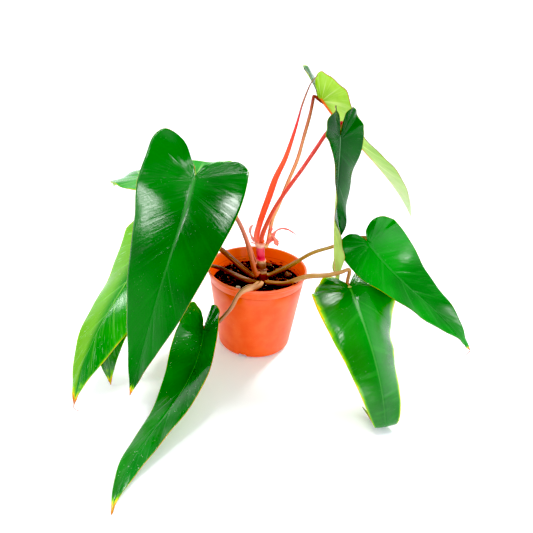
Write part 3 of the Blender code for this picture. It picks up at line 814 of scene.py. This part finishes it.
def midrib_frames(leaf, u, v):
    """Point, side and upward normal of the midrib at distances u; v picks the lobe that curls."""
    length = leaf["length"] * MM
    steps = np.linspace(0, 1, 101)
    dirs = direction(leaf, steps)
    start = placed([leaf["at"]])[0]
    walked = np.vstack([[0, 0, 0], np.cumsum((dirs[1:] + dirs[:-1]) / 2 * length / 100, axis=0)])
    line = start + walked
    x = np.clip(u / length, 0, 1)
    point = np.stack([np.interp(x, steps, line[:, k]) for k in range(3)], -1)
    along = direction(leaf, x)
    heading = np.radians(three(leaf["heading"], x))
    roll = np.radians(three(leaf["roll"], x))[:, None]
    level = np.stack([np.sin(heading), -np.cos(heading), 0 * heading], -1)
    lift = np.cross(level, along)
    side = np.cos(roll) * level + np.sin(roll) * lift
    normal = -np.sin(roll) * level + np.cos(roll) * lift
    back = np.minimum(u, 0)
    right, left = leaf["lobe_curl"]
    curl = np.radians(np.where(v < 0, right, left))
    curl = curl * np.clip(np.abs(v) / (leaf["width"] * MM * 0.12), 0, 1)
    turn = (curl * back / (length * 0.25))[:, None]
    point = point + back[:, None] * (np.cos(turn / 2) * along + np.sin(turn / 2) * normal)
    normal = -np.sin(turn) * along + np.cos(turn) * normal
    return point, side, normal


def blade_points(leaf, u, v):
    """Points in space of a flat blade's points, u along the midrib and v across it."""
    point, side, normal = midrib_frames(leaf, u, v)
    half = leaf["width"] * MM / 2
    x = np.clip(u / (leaf["length"] * MM), 0, 1)
    cup = math.radians(leaf["cup"]) * np.abs(v) / half / 2
    angle = (np.radians(three(leaf["fold"], x)) + cup)[:, None]
    reach = (np.abs(v) * np.sinc(cup / np.pi))[:, None]
    return point + np.sign(v)[:, None] * reach * np.cos(angle) * side + reach * np.sin(angle) * normal


def blade_layout(leaf, along, across):
    """Flat u and v of a blade's grid. Its rows run from midrib to margin, as the side veins do."""
    share = TIP_SHARE * along
    edge = spline(BLADE_EDGE, share)
    length = leaf["length"] * MM
    vein = np.where(share < 0.5, 0.06 * share, 0.03 + 0.97 * (2 * np.maximum(share, 0.5) - 1) ** 1.15)
    if "tuck" in leaf:
        vein = vein + (edge[:, 0] - vein) * smoothstep((share - 0.55) / 0.15)
    way = np.abs(2 * across - 1) ** RIB_SPREAD
    side = np.where(across < 0.5, 1, -1)
    lobe = np.where(side < 0, leaf["lobes"][0], leaf["lobes"][1]) * MM
    wide = np.where(side < 0, leaf["sides"][0], leaf["sides"][1])
    end_u = np.where(edge[:, 0] < 0, edge[:, 0] * lobe, edge[:, 0] * length)
    end_v = edge[:, 1] * leaf["width"] * MM / 2 * wide
    u = vein * length + (end_u - vein * length) * way
    return u, side * end_v * way, way


def blade_relief(leaf, seed, along, across, v, way):
    """Height off the smooth blade: midrib channel, quilting between side veins, wavy margin."""
    channel = -CHANNEL_DEPTH * np.exp(-((v / CHANNEL_HALF) ** 2)) * (1 - along**2)
    phase = along * SIDE_VEINS + np.where(across > 0.5, VEIN_LAG, 0.0)
    pillow = np.abs(np.sin(np.pi * (phase - 0.5))) - 0.6
    quilt = QUILT_HEIGHT * pillow * np.sin(np.pi * np.clip(way, 0, 1)) ** 0.7
    wave = np.sin(2 * np.pi * (WAVES * along + seed * 0.37 + np.where(across > 0.5, 0.31, 0)))
    small_wave = np.sin(2 * np.pi * (SMALL_WAVES * along + seed * 0.71))
    calm = smoothstep(along / 0.12) * smoothstep((1 - along) / 0.06)
    wavy = leaf.get("wavy", 1.0)
    margin_calm = calm * smoothstep(along / (0.12 * wavy))
    if "tuck" in leaf:
        margin_calm = margin_calm * smoothstep((0.80 - along) / 0.25)
    waves = WAVE_HEIGHT * wave + SMALL_WAVE_HEIGHT * small_wave
    edge = wavy * way**3 * margin_calm * waves
    return channel + quilt * calm + edge


def make_leaf(name, seed, rim):
    leaf, look = LEAVES[name], {**PLAIN_LOOK, **LOOKS[name]}
    shares = {}

    def place(along, across):
        u, v, way = blade_layout(leaf, along, across)
        shares.update(along=along, way=way, v=v)
        shares["rise"] = blade_relief(leaf, seed, along, across, v, way)
        return blade_points(leaf, u, v)

    bm = patch(LEAF_ROWS, LEAF_COLUMNS, place)
    bm.normal_update()
    ridge = np.exp(-((shares["v"] / RIDGE_HALF) ** 2)) * (1 - shares["along"]) ** 0.6
    weights = bm.verts.layers.deform.verify()
    lift = [vert.normal * rise for vert, rise in zip(bm.verts, shares["rise"])]
    for vert, move, weight in zip(bm.verts, lift, ridge):
        vert.co += move
        vert[weights][0] = float(weight)
    finishes = (leaf_upper(name, look, seed), leaf_under(name, look, seed), rim)
    made = piece(f"leaf_{name}", bm, finishes, [f"blade_{name}"])
    made.vertex_groups.new(name="ridge")
    skin = made.modifiers.new("thickness", "SOLIDIFY")
    skin.thickness = BLADE_SKIN
    skin.offset = -1
    skin.vertex_group = "ridge"
    skin.thickness_vertex_group = BLADE_THINNEST
    skin.material_offset = 1
    skin.material_offset_rim = 2


def make_tip_thread(name, finish):
    """The thin dried thread that a blade's tip ends in."""
    leaf = LEAVES[name]
    shares = np.array([0.965, TIP_SHARE])
    heel, toe = midrib_frames(leaf, shares * leaf["length"] * MM, np.zeros(2))[0]
    middle, end = (toe + np.array(step) * MM for step in TIP_THREADS[name])
    places = np.linspace(0, 1, 25)
    path = spline(np.array([heel, toe, middle, end]), places)
    halves = np.interp(places, (0, 0.4, 1), THREAD_HALVES) * MM
    piece(f"tip_thread_{name}", make_tube(path, halves, halves * 0.7, 8), [finish])


# ---- petioles, sheaths and roots

def carried_frames(path, first_side=None):
    """Side and over directions carried along a path without twisting."""
    along = np.gradient(path, axis=0)
    along /= np.linalg.norm(along, axis=1)[:, None]
    side = np.cross(along[0], (0, 0, 1)) if first_side is None else np.asarray(first_side, float)
    sides = []
    for way in along:
        side = side - way * side.dot(way)
        side = side / np.linalg.norm(side)
        sides.append(side)
    sides = np.array(sides)
    return sides, np.cross(sides, along)


def make_tube(path, wide, thick, around, channel=None, channel_turn=0.25):
    """A closed tube on a path; channel is how deep a groove runs along the turn given."""
    sides, overs = carried_frames(path)
    rows = len(path) - 1
    hollow = np.zeros(len(path)) if channel is None else channel

    def place(along, across):
        row = np.rint(along * rows).astype(int)
        turn = 2 * np.pi * across
        apart = np.abs((across - channel_turn + 0.5) % 1 - 0.5)
        deep = 1 - hollow[row] * np.exp(-((apart / 0.085) ** 2))
        step_aside = (wide[row] * np.cos(turn) * deep)[:, None] * sides[row]
        return path[row] + step_aside + (thick[row] * np.sin(turn) * deep)[:, None] * overs[row]

    return close_tube(patch(rows, around, place))


def petiole_guide(leaf, plan):
    """The petiole's points, from just inside the stem to under the foot of the blade."""
    back, down = plan.get("near", (5.0, 5.2))
    zero = np.zeros(1)
    point, _, normal = midrib_frames(leaf, zero, zero)
    along = direction(leaf, zero)[0]
    point, normal = point[0], normal[0]
    points = placed(plan["points"])
    axis = np.array([*(np.array(STEM_FOOT) + STEM_HEAD) / 2, points[0][2] - 0.002])
    inward = (axis - points[0]) / np.linalg.norm(axis - points[0])
    rooted = points[0] + inward * min(ROOTED, np.linalg.norm(axis - points[0]))
    near = point - along * back * MM - normal * down * MM
    under = [point + along * far * MM - normal * low * MM for far, low in UNDER_BLADE]
    return np.vstack([rooted, points, near, *under])


def make_petiole(name):
    plan = PETIOLES[name]
    guide = petiole_guide(LEAVES[name], plan)
    shares = np.linspace(0, 1, 8 * len(guide) + 1)
    path = spline(guide, shares)
    ends = plan["sheath"]
    halves = np.insert(plan["half"], 2, plan["half"][1])
    wide = np.interp(shares, (0, 0.1, 0.65 * ends, 1.15 * ends, 1), halves) * MM
    wide = np.convolve(np.pad(wide, 4, "edge"), np.ones(9) / 9, "valid")
    # the swollen joint under the blade, then how it narrows into the midrib
    swollen = 1 + 0.14 * np.exp(-(((shares - 0.9) / 0.04) ** 2))
    taper = 1 - 0.62 * smoothstep((shares - 0.94) / 0.06)
    wobble = 1 + 0.03 * np.sin(shares * 40 + len(name)) + 0.02 * np.sin(shares * 93)
    wide = wide * swollen * taper * wobble
    thick = wide * (plan["flat"] + (0.95 - plan["flat"]) * smoothstep(shares / ends))
    sheathed = plan["channel"] * (1 - smoothstep((shares - 0.5 * ends) / (0.6 * ends)))
    groove = np.maximum(sheathed, 0.16) * (1 - smoothstep((shares - 0.9) / 0.08))
    bm = make_tube(path, wide, thick, 28, groove)
    finish = stalk_finish(name, STALK_COLOURS[name])
    piece(f"stalk_{name}", bm, [finish], [f"petiole_{name}"])


def make_new_leaf():
    """The unopened leaf: a long flattened sheath with an open seam, and the rolled blade above it."""
    shares = np.linspace(0, 1, 81)
    path = spline(placed(SHEATH_POINTS), shares)
    wide = np.interp(shares, *SHEATH_WIDE) * MM
    thick = np.interp(shares, *SHEATH_THICK) * MM
    seam = 0.30 * smoothstep(shares / 0.1) * (1 - smoothstep((shares - 0.6) / 0.3))
    bm = make_tube(path, wide, thick, 32, seam, SEAM_TURN)
    piece("sheath_of_new_leaf", bm, [sheath_finish()], ["new_leaf_sheath"])
    shares = np.linspace(0, 1, 49)
    path = spline(placed(ROLLED_POINTS), shares)
    wide = np.interp(shares, *ROLLED_WIDE) * MM
    bm = make_tube(path, wide, wide * 0.9, 20, np.full(49, 0.3), 0.35)
    finish = stalk_finish("rolled_leaf", STALK_COLOURS["rolled_leaf"])
    piece("rolled_new_leaf", bm, [finish], ["new_leaf_rolled"])


def ribbon(points, halves, first_side, seed, curve):
    """A thin strip along points, its edges rolled up and a little ragged."""
    shares = np.linspace(0, 1, RIBBON_ROWS + 1)
    path = spline(placed(points), shares)
    sides, overs = carried_frames(path, first_side)
    wide = np.interp(shares, np.linspace(0, 1, len(halves)), halves) * MM

    def place(along, across):
        row = np.rint(along * RIBBON_ROWS).astype(int)
        lean = 2 * across - 1
        ragged = 1 + 0.16 * np.sin(along * 37 + seed) * np.abs(lean)
        ragged = ragged + 0.08 * np.sin(along * 83 + lean * 2)
        roll = curve * lean * (0.7 + 0.3 * np.sin(along * 9 + seed))
        aside = wide[row] * np.sin(roll) / math.sin(min(curve, math.pi / 2)) * ragged
        rise = wide[row] * (1 - np.cos(roll)) * 0.8
        return path[row] + aside[:, None] * sides[row] + rise[:, None] * overs[row]

    return patch(RIBBON_ROWS, RIBBON_COLUMNS, place)


def make_old_sheath(name, strips, finish, node):
    """A dried sheath of one or more torn strips."""
    bm = bmesh.new()
    for seed, (points, halves, first_side, curve) in enumerate(strips):
        strip = ribbon(points, halves, first_side, seed + 1.0, curve)
        mesh = mesh_of("strip", strip)
        bm.from_mesh(mesh)
        bpy.data.meshes.remove(mesh)
    made = piece(name, bm, [finish], [node])
    skin = made.modifiers.new("thickness", "SOLIDIFY")
    skin.thickness = OLD_SHEATH_SKIN
    skin.offset = 0


def make_roots():
    bark = earth_finish("root_skin", (120, 66, 40), (206, 140, 100), 500.0)
    for number, (node, points) in enumerate(ROOTS.items()):
        shares = np.linspace(0, 1, 41)
        path = spline(placed(points), shares)
        path[:, 2] += 0.0004 * np.sin(shares * 31 + number)
        wide = 0.9 * MM * (1 - 0.45 * shares) * (1 + 0.12 * np.sin(shares * 55))
        piece(f"strand_{node}", make_tube(path, wide, wide * 0.9, 12), [bark], [node])


# ---- stem

def make_stem():
    """A short leaning stem: a turned outline with a thin papery collar at each ring, then sheared."""
    outline = [(0.0, 0.0)]
    for k in range(STEM_ROWS + 1):
        share = k / STEM_ROWS
        radius = STEM_RADIUS * (1.06 - 0.12 * share)
        for ring in STEM_RINGS:
            radius += RING_OUT * math.exp(-(((share - ring) / 0.018) ** 2))
            radius -= WAIST_IN * math.exp(-(((share - ring - 0.06) / 0.03) ** 2))
        outline.append((radius, share))
    outline.append((0.0, 1.0))
    bm = turned(outline, STEM_STEPS)
    for vert in bm.verts:
        share = vert.co.z
        turn = math.atan2(vert.co.y, vert.co.x)
        collar = max(math.exp(-(((share - ring) / 0.03) ** 2)) for ring in STEM_RINGS)
        tilt = 0.0012 * collar * math.sin(turn + 9 * share)
        tilt += 0.0005 * collar * math.sin(5 * turn + 20 * share)
        lump = 1 + 0.04 * noise.noise(Vector((vert.co.x * 300, vert.co.y * 300, share * 9)))
        x = STEM_FOOT[0] + (STEM_HEAD[0] - STEM_FOOT[0]) * share
        y = STEM_FOOT[1] + (STEM_HEAD[1] - STEM_FOOT[1]) * share
        height = SOIL_TOP + TOUCH + share * STEM_LENGTH + tilt
        vert.co = (x + vert.co.x * lump, y + vert.co.y * lump, height)
    piece("ringed_stem", bm, [stem_finish()], ["stem"])


# ---- pot

def wall_radius(z):
    """Outer radius of the pot's tapered wall."""
    return BASE_RADIUS + (RIM_RADIUS - LIP_OUT - BASE_RADIUS) * z / POT_HEIGHT


def pot_outline():
    """Radius and height round the wall, from the middle of the underside to that of the inside."""
    outline = [(0.0, FOOT_RISE), (FOOT_RING - 0.0015, FOOT_RISE), (FOOT_RING, 0.0)]
    centre = wall_radius(FOOT_ROUND) - FOOT_ROUND
    for k in range(9):
        turn = math.radians(11.25 * k)
        outline.append((centre + FOOT_ROUND * math.sin(turn), FOOT_ROUND * (1 - math.cos(turn))))
    lip = POT_HEIGHT - LIP_HEIGHT
    for z in np.linspace(0.012, STEP - CHAMFER, 8):
        outline.append((wall_radius(z), z))
    outline += [(wall_radius(STEP) - STEP_IN, STEP), (wall_radius(STEP + CHAMFER), STEP + CHAMFER)]
    outline += [(wall_radius(lip - 0.003), lip - 0.003), (wall_radius(lip) + TOUCH, lip - LIP_OUT)]
    for start, base in ((-90, lip + LIP_ROUND), (0, POT_HEIGHT - LIP_ROUND)):
        for k in range(5):
            turn = math.radians(start + 22.5 * k)
            reach = RIM_RADIUS - LIP_ROUND * (1 - math.cos(turn))
            outline.append((reach, base + LIP_ROUND * math.sin(turn)))
    inner = wall_radius(POT_HEIGHT) - WALL
    outline += [(inner + CHAMFER, POT_HEIGHT), (inner, POT_HEIGHT - 0.0005)]
    outline.append((wall_radius(FLOOR + 0.003) - WALL, FLOOR + 0.003))
    return outline + [(wall_radius(FLOOR) - WALL - 0.003, FLOOR), (0.0, FLOOR)]


def make_pot():
    pot = piece("nursery_pot", turned(pot_outline(), POT_STEPS), [pot_finish()], ["pot"])
    for turn in NOTCH_TURNS:
        cut_notch(pot, turn)
    pot.data.set_sharp_from_angle(angle=math.radians(POT_CREASE))


def cut_notch(pot, turn):
    """Cuts one round-cornered drain notch through the foot of the wall."""
    bm = bmesh.new()
    bmesh.ops.create_cube(bm, size=1)
    bmesh.ops.scale(bm, vec=(NOTCH_DEPTH, NOTCH_WIDTH, 2 * NOTCH_HEIGHT), verts=bm.verts)
    long_edges = [e for e in bm.edges if abs(e.verts[0].co.x - e.verts[1].co.x) > 0.001]
    bmesh.ops.bevel(
        bm, geom=long_edges, offset=NOTCH_ROUND, offset_type="OFFSET", segments=4, profile=0.5,
        material=-1, affect="EDGES",
    )
    bmesh.ops.translate(bm, vec=(BASE_RADIUS - 0.0015, 0, 0), verts=bm.verts)
    round_pot = Matrix.Rotation(math.radians(turn), 3, "Z")
    bmesh.ops.rotate(bm, cent=(0, 0, 0), matrix=round_pot, verts=bm.verts)
    cutter = in_scene("notch", mesh_of("notch", bm))
    hole = pot.modifiers.new("notch", "BOOLEAN")
    hole.operation = "DIFFERENCE"
    hole.solver = "EXACT"
    hole.object = cutter
    bpy.context.view_layer.update()
    cut = bpy.data.meshes.new_from_object(pot.evaluated_get(bpy.context.evaluated_depsgraph_get()))
    pot.modifiers.clear()
    pot.data = cut
    bpy.data.objects.remove(cutter, do_unlink=True)


# ---- soil

def soil_rise(x, y):
    """Uneven soil, level at the wall and round the stem."""
    reach = math.hypot(x, y)
    calm = smoothstep((0.052 - reach) / 0.006) * smoothstep((reach - 0.006) / 0.006)
    broad = noise.noise(Vector((x * 70, y * 70, 1.0)))
    fine = noise.fractal(Vector((x * 260, y * 260, 4.0)), 0.9, 2.1, 4)
    return float(calm) * (BROAD_RISE * broad + FINE_RISE * fine)


def make_soil():
    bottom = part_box("soil")[0].z
    reach = wall_radius(SOIL_TOP) - WALL - TOUCH - 0.0002
    foot = wall_radius(bottom) - WALL - TOUCH - 0.0008
    outline = [(reach * k / SOIL_RINGS, SOIL_TOP) for k in range(SOIL_RINGS)]
    outline += [(reach, SOIL_TOP - 0.001), (foot, bottom), (0.0, bottom)]
    bm = turned(outline, SOIL_STEPS)
    for vert in bm.verts:
        if vert.co.z > SOIL_TOP - 0.0005:
            vert.co.z += soil_rise(vert.co.x, vert.co.y)
    finish = earth_finish("potting_soil", (4, 2, 1), (30, 14, 9), 330.0, 0.25)
    piece("potting_mix", bm, [finish], ["soil"])


def on_soil(reach_most):
    """A random place on the soil, clear of the stem."""
    while True:
        x, y = (CHANCE.uniform(-reach_most, reach_most) for _ in range(2))
        if STEM_CLEAR < math.hypot(x, y) < reach_most:
            return x, y, SOIL_TOP + soil_rise(x, y)


def scatter(name, count, sizes, stretch, finish, slot):
    """Many small lumps, each a roughened and stretched icosahedron, joined in one piece."""
    bm = bmesh.new()
    for _ in range(count):
        made = bmesh.ops.create_icosphere(bm, subdivisions=1, radius=0.5)["verts"]
        size = CHANCE.uniform(*sizes)
        scale = [size * CHANCE.uniform(*pair) for pair in stretch]
        for vert in made:
            vert.co *= CHANCE.uniform(0.75, 1.2)
        bmesh.ops.scale(bm, vec=scale, verts=made)
        lean = [CHANCE.uniform(-LUMP_LEAN, LUMP_LEAN) for _ in range(2)]
        turn = Euler((*lean, CHANCE.uniform(0, 6.283))).to_matrix()
        bmesh.ops.rotate(bm, cent=(0, 0, 0), matrix=turn, verts=made)
        x, y, z = on_soil(LUMP_REACH)
        bmesh.ops.translate(bm, vec=(x, y, z + scale[2] * (0.5 - LUMP_SUNK)), verts=made)
    piece(name, bm, [finish], smooth=False)


def make_fibres():
    """Thin curved fibres of coir and root lying on the soil."""
    bm = bmesh.new()
    for _ in range(FIBRES):
        made = bmesh.ops.create_grid(bm, x_segments=6, y_segments=3, size=0.5)["verts"]
        long, bow = CHANCE.uniform(0.005, 0.014), CHANCE.uniform(-0.5, 0.5)
        angle, lift = CHANCE.uniform(0, 6.283), CHANCE.uniform(-0.1, 0.35)
        x, y, z = on_soil(FIBRE_REACH)
        for vert in made:
            share, turn = vert.co.x, 2 * math.pi * vert.co.y
            along = share * long
            swing = angle + bow * share * 2
            thin = FIBRE_HALF * (1 - share)
            aside = thin * math.cos(turn)
            vert.co = (
                x + along * math.cos(swing) - aside * math.sin(swing),
                y + along * math.sin(swing) + aside * math.cos(swing),
                z + 0.0012 + thin * math.sin(turn) + abs(along) * lift - 0.0015 * (2 * share) ** 2,
            )
    finish = earth_finish("coir_fibre", (120, 66, 36), (200, 140, 100), 300.0)
    piece("coir_fibres", close_tube(bm), [finish])


def make_chip(node, finish, ridges):
    """One bark or pumice lump in the box of its solid, roughened along its grain."""
    low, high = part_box(node)
    middle, size = (low + high) / 2, high - low
    bm = bmesh.new()
    bmesh.ops.create_icosphere(bm, subdivisions=4, radius=0.5)
    for vert in bm.verts:
        at = vert.co.normalized()
        blocky = 1 / max(abs(at.x), abs(at.y), abs(at.z)) ** 0.55
        lumps = noise.noise(at * 2.3 + middle * 300) * 0.10
        rough = lumps + noise.noise(Vector((at.x * 2, at.y * ridges, at.z * ridges))) * 0.07
        shaped = at * 0.5 * blocky * 0.84 * (1 + rough)
        vert.co = middle + Vector(shaped[k] * size[k] for k in range(3))
    piece(f"lump_{node}", bm, [finish], [node], smooth=False)


# ---- stage, light and camera

def make_floor():
    """A round pale floor, wide enough to run out of every view."""
    bm = bmesh.new()
    bmesh.ops.create_circle(bm, cap_ends=True, radius=PAPER_REACH, segments=96)
    bmesh.ops.translate(bm, vec=(0, 0, -PAPER_DROP), verts=bm.verts)
    floor = in_scene("studio_floor", mesh_of("studio_floor", bm))
    floor.data.materials.append(floor_finish())


def shining(way):
    """The turn that points a light along a direction."""
    return Vector(way).to_track_quat("-Z", "Y").to_euler()


def softbox(name, place, aim, size, radiance):
    """An area light given by how bright its face looks."""
    light = bpy.data.lights.new(name, "AREA")
    light.shape = "RECTANGLE"
    light.size, light.size_y = size
    light.energy = radiance * math.pi * size[0] * size[1]
    made = in_scene(name, light)
    made.location = place
    made.rotation_euler = shining(Vector(aim) - Vector(place))


def make_world():
    """Studio air: white at the level of the horizon, dimmer overhead."""
    world = bpy.data.worlds.new("studio")
    world.use_nodes = True
    tree = world.node_tree
    places = tree.nodes.new("ShaderNodeTexCoord")
    split = tree.nodes.new("ShaderNodeSeparateXYZ")
    ramp = tree.nodes.new("ShaderNodeValToRGB")
    for element, (height, white) in zip(ramp.color_ramp.elements, (HORIZON, OVERHEAD)):
        element.position, element.color = height, white
    tree.links.new(places.outputs["Generated"], split.inputs[0])
    tree.links.new(split.outputs["Z"], ramp.inputs[0])
    tree.links.new(ramp.outputs[0], tree.nodes["Background"].inputs[0])
    bpy.context.scene.world = world


def make_light():
    make_world()
    sun = bpy.data.lights.new("key", "SUN")
    sun.energy = SUN_POWER
    sun.angle = math.radians(SUN_ANGLE)
    in_scene("key", sun).rotation_euler = shining(SUN_WAY)
    for name, plan in SOFTBOXES.items():
        softbox(name, *plan)


def make_camera():
    data = bpy.data.cameras.new("view")
    data.lens, data.sensor_width = LENS, SENSOR
    data.clip_start, data.clip_end = 0.01, 200.0
    camera = in_scene("view", data)
    tilt = Matrix.Rotation(math.radians(CAMERA_TILT), 4, "X")
    roll = Matrix.Rotation(math.radians(CAMERA_ROLL), 4, "Z")
    camera.matrix_world = Matrix.Translation(CAMERA_PLACE) @ (tilt @ roll)
    bpy.context.scene.camera = camera


def set_tones():
    """A high-key print: clean whites, and blacks with the studio haze taken off them."""
    view = bpy.context.scene.view_settings
    view.view_transform = "Standard"
    view.look = "None"
    view.use_curve_mapping = True
    view.curve_mapping.black_level = [HAZE] * 3
    view.curve_mapping.white_level = [WHITE_POINT] * 3
    view.curve_mapping.update()


# ---- the whole plant

def make_plant():
    rim = leaf_rim("leaf_rim", ((0.3, (196, 140, 40)), (0.5, (214, 110, 50)), (0.7, (120, 120, 30))))
    dull = leaf_rim("leaf_rim_dull", ((0.3, (30, 92, 12)), (0.5, (120, 84, 40)), (0.7, (20, 84, 12))))
    for seed, name in enumerate(LEAVES):
        make_leaf(name, float(seed + 1), rim if name in RUSTY_RIMS else dull)
        make_petiole(name)
    dry = dried_finish("dried_tip", (244, 190, 166), (190, 84, 50))
    for name in TIP_THREADS:
        make_tip_thread(name, dry)
    make_stem()
    make_new_leaf()
    curl = dried_finish("dried_sheath_pink", (255, 206, 190), (252, 92, 74))
    make_old_sheath("curled_old_sheath", OLD_CURL, curl, "old_sheath_curl")
    scrap = dried_finish("dried_sheath_pale", (255, 215, 205), (250, 150, 140))
    make_old_sheath("scrap_of_old_sheath", OLD_SCRAP, scrap, "old_sheath_scrap")


def make_potting():
    make_pot()
    make_soil()
    make_roots()
    make_fibres()
    crumbs = earth_finish("soil_crumb", (4, 2, 1), (38, 18, 12), 700.0, 0.2)
    slivers = earth_finish("bark_sliver", (70, 34, 22), (176, 110, 84), 500.0)
    perlite = earth_finish("perlite", (225, 215, 205), (250, 248, 244), 600.0)
    for plan in (
        ("soil_crumbs", 620, (0.0014, 0.0042), ((0.8, 1.3), (0.8, 1.3), (0.6, 1.0)), crumbs, "soil_mix"),
        ("bark_slivers", 110, (0.0018, 0.0046), ((1.4, 2.6), (0.5, 0.9), (0.25, 0.5)), slivers, "bark"),
        ("perlite_grains", 26, (0.0010, 0.0024), ((0.8, 1.2), (0.8, 1.2), (0.7, 1.0)), perlite, "pumice"),
    ):
        scatter(*plan)
    bark = earth_finish("bark_chip", (44, 24, 16), (140, 88, 64), 420.0)
    for node in ("bark_chip_front", "bark_chip_left", "bark_chip_back", "bark_chip_right"):
        make_chip(node, bark, 7.0)
    make_chip("pumice_chip", perlite, 3.0)


make_plant()
make_potting()
make_floor()
make_light()
make_camera()
set_tones()
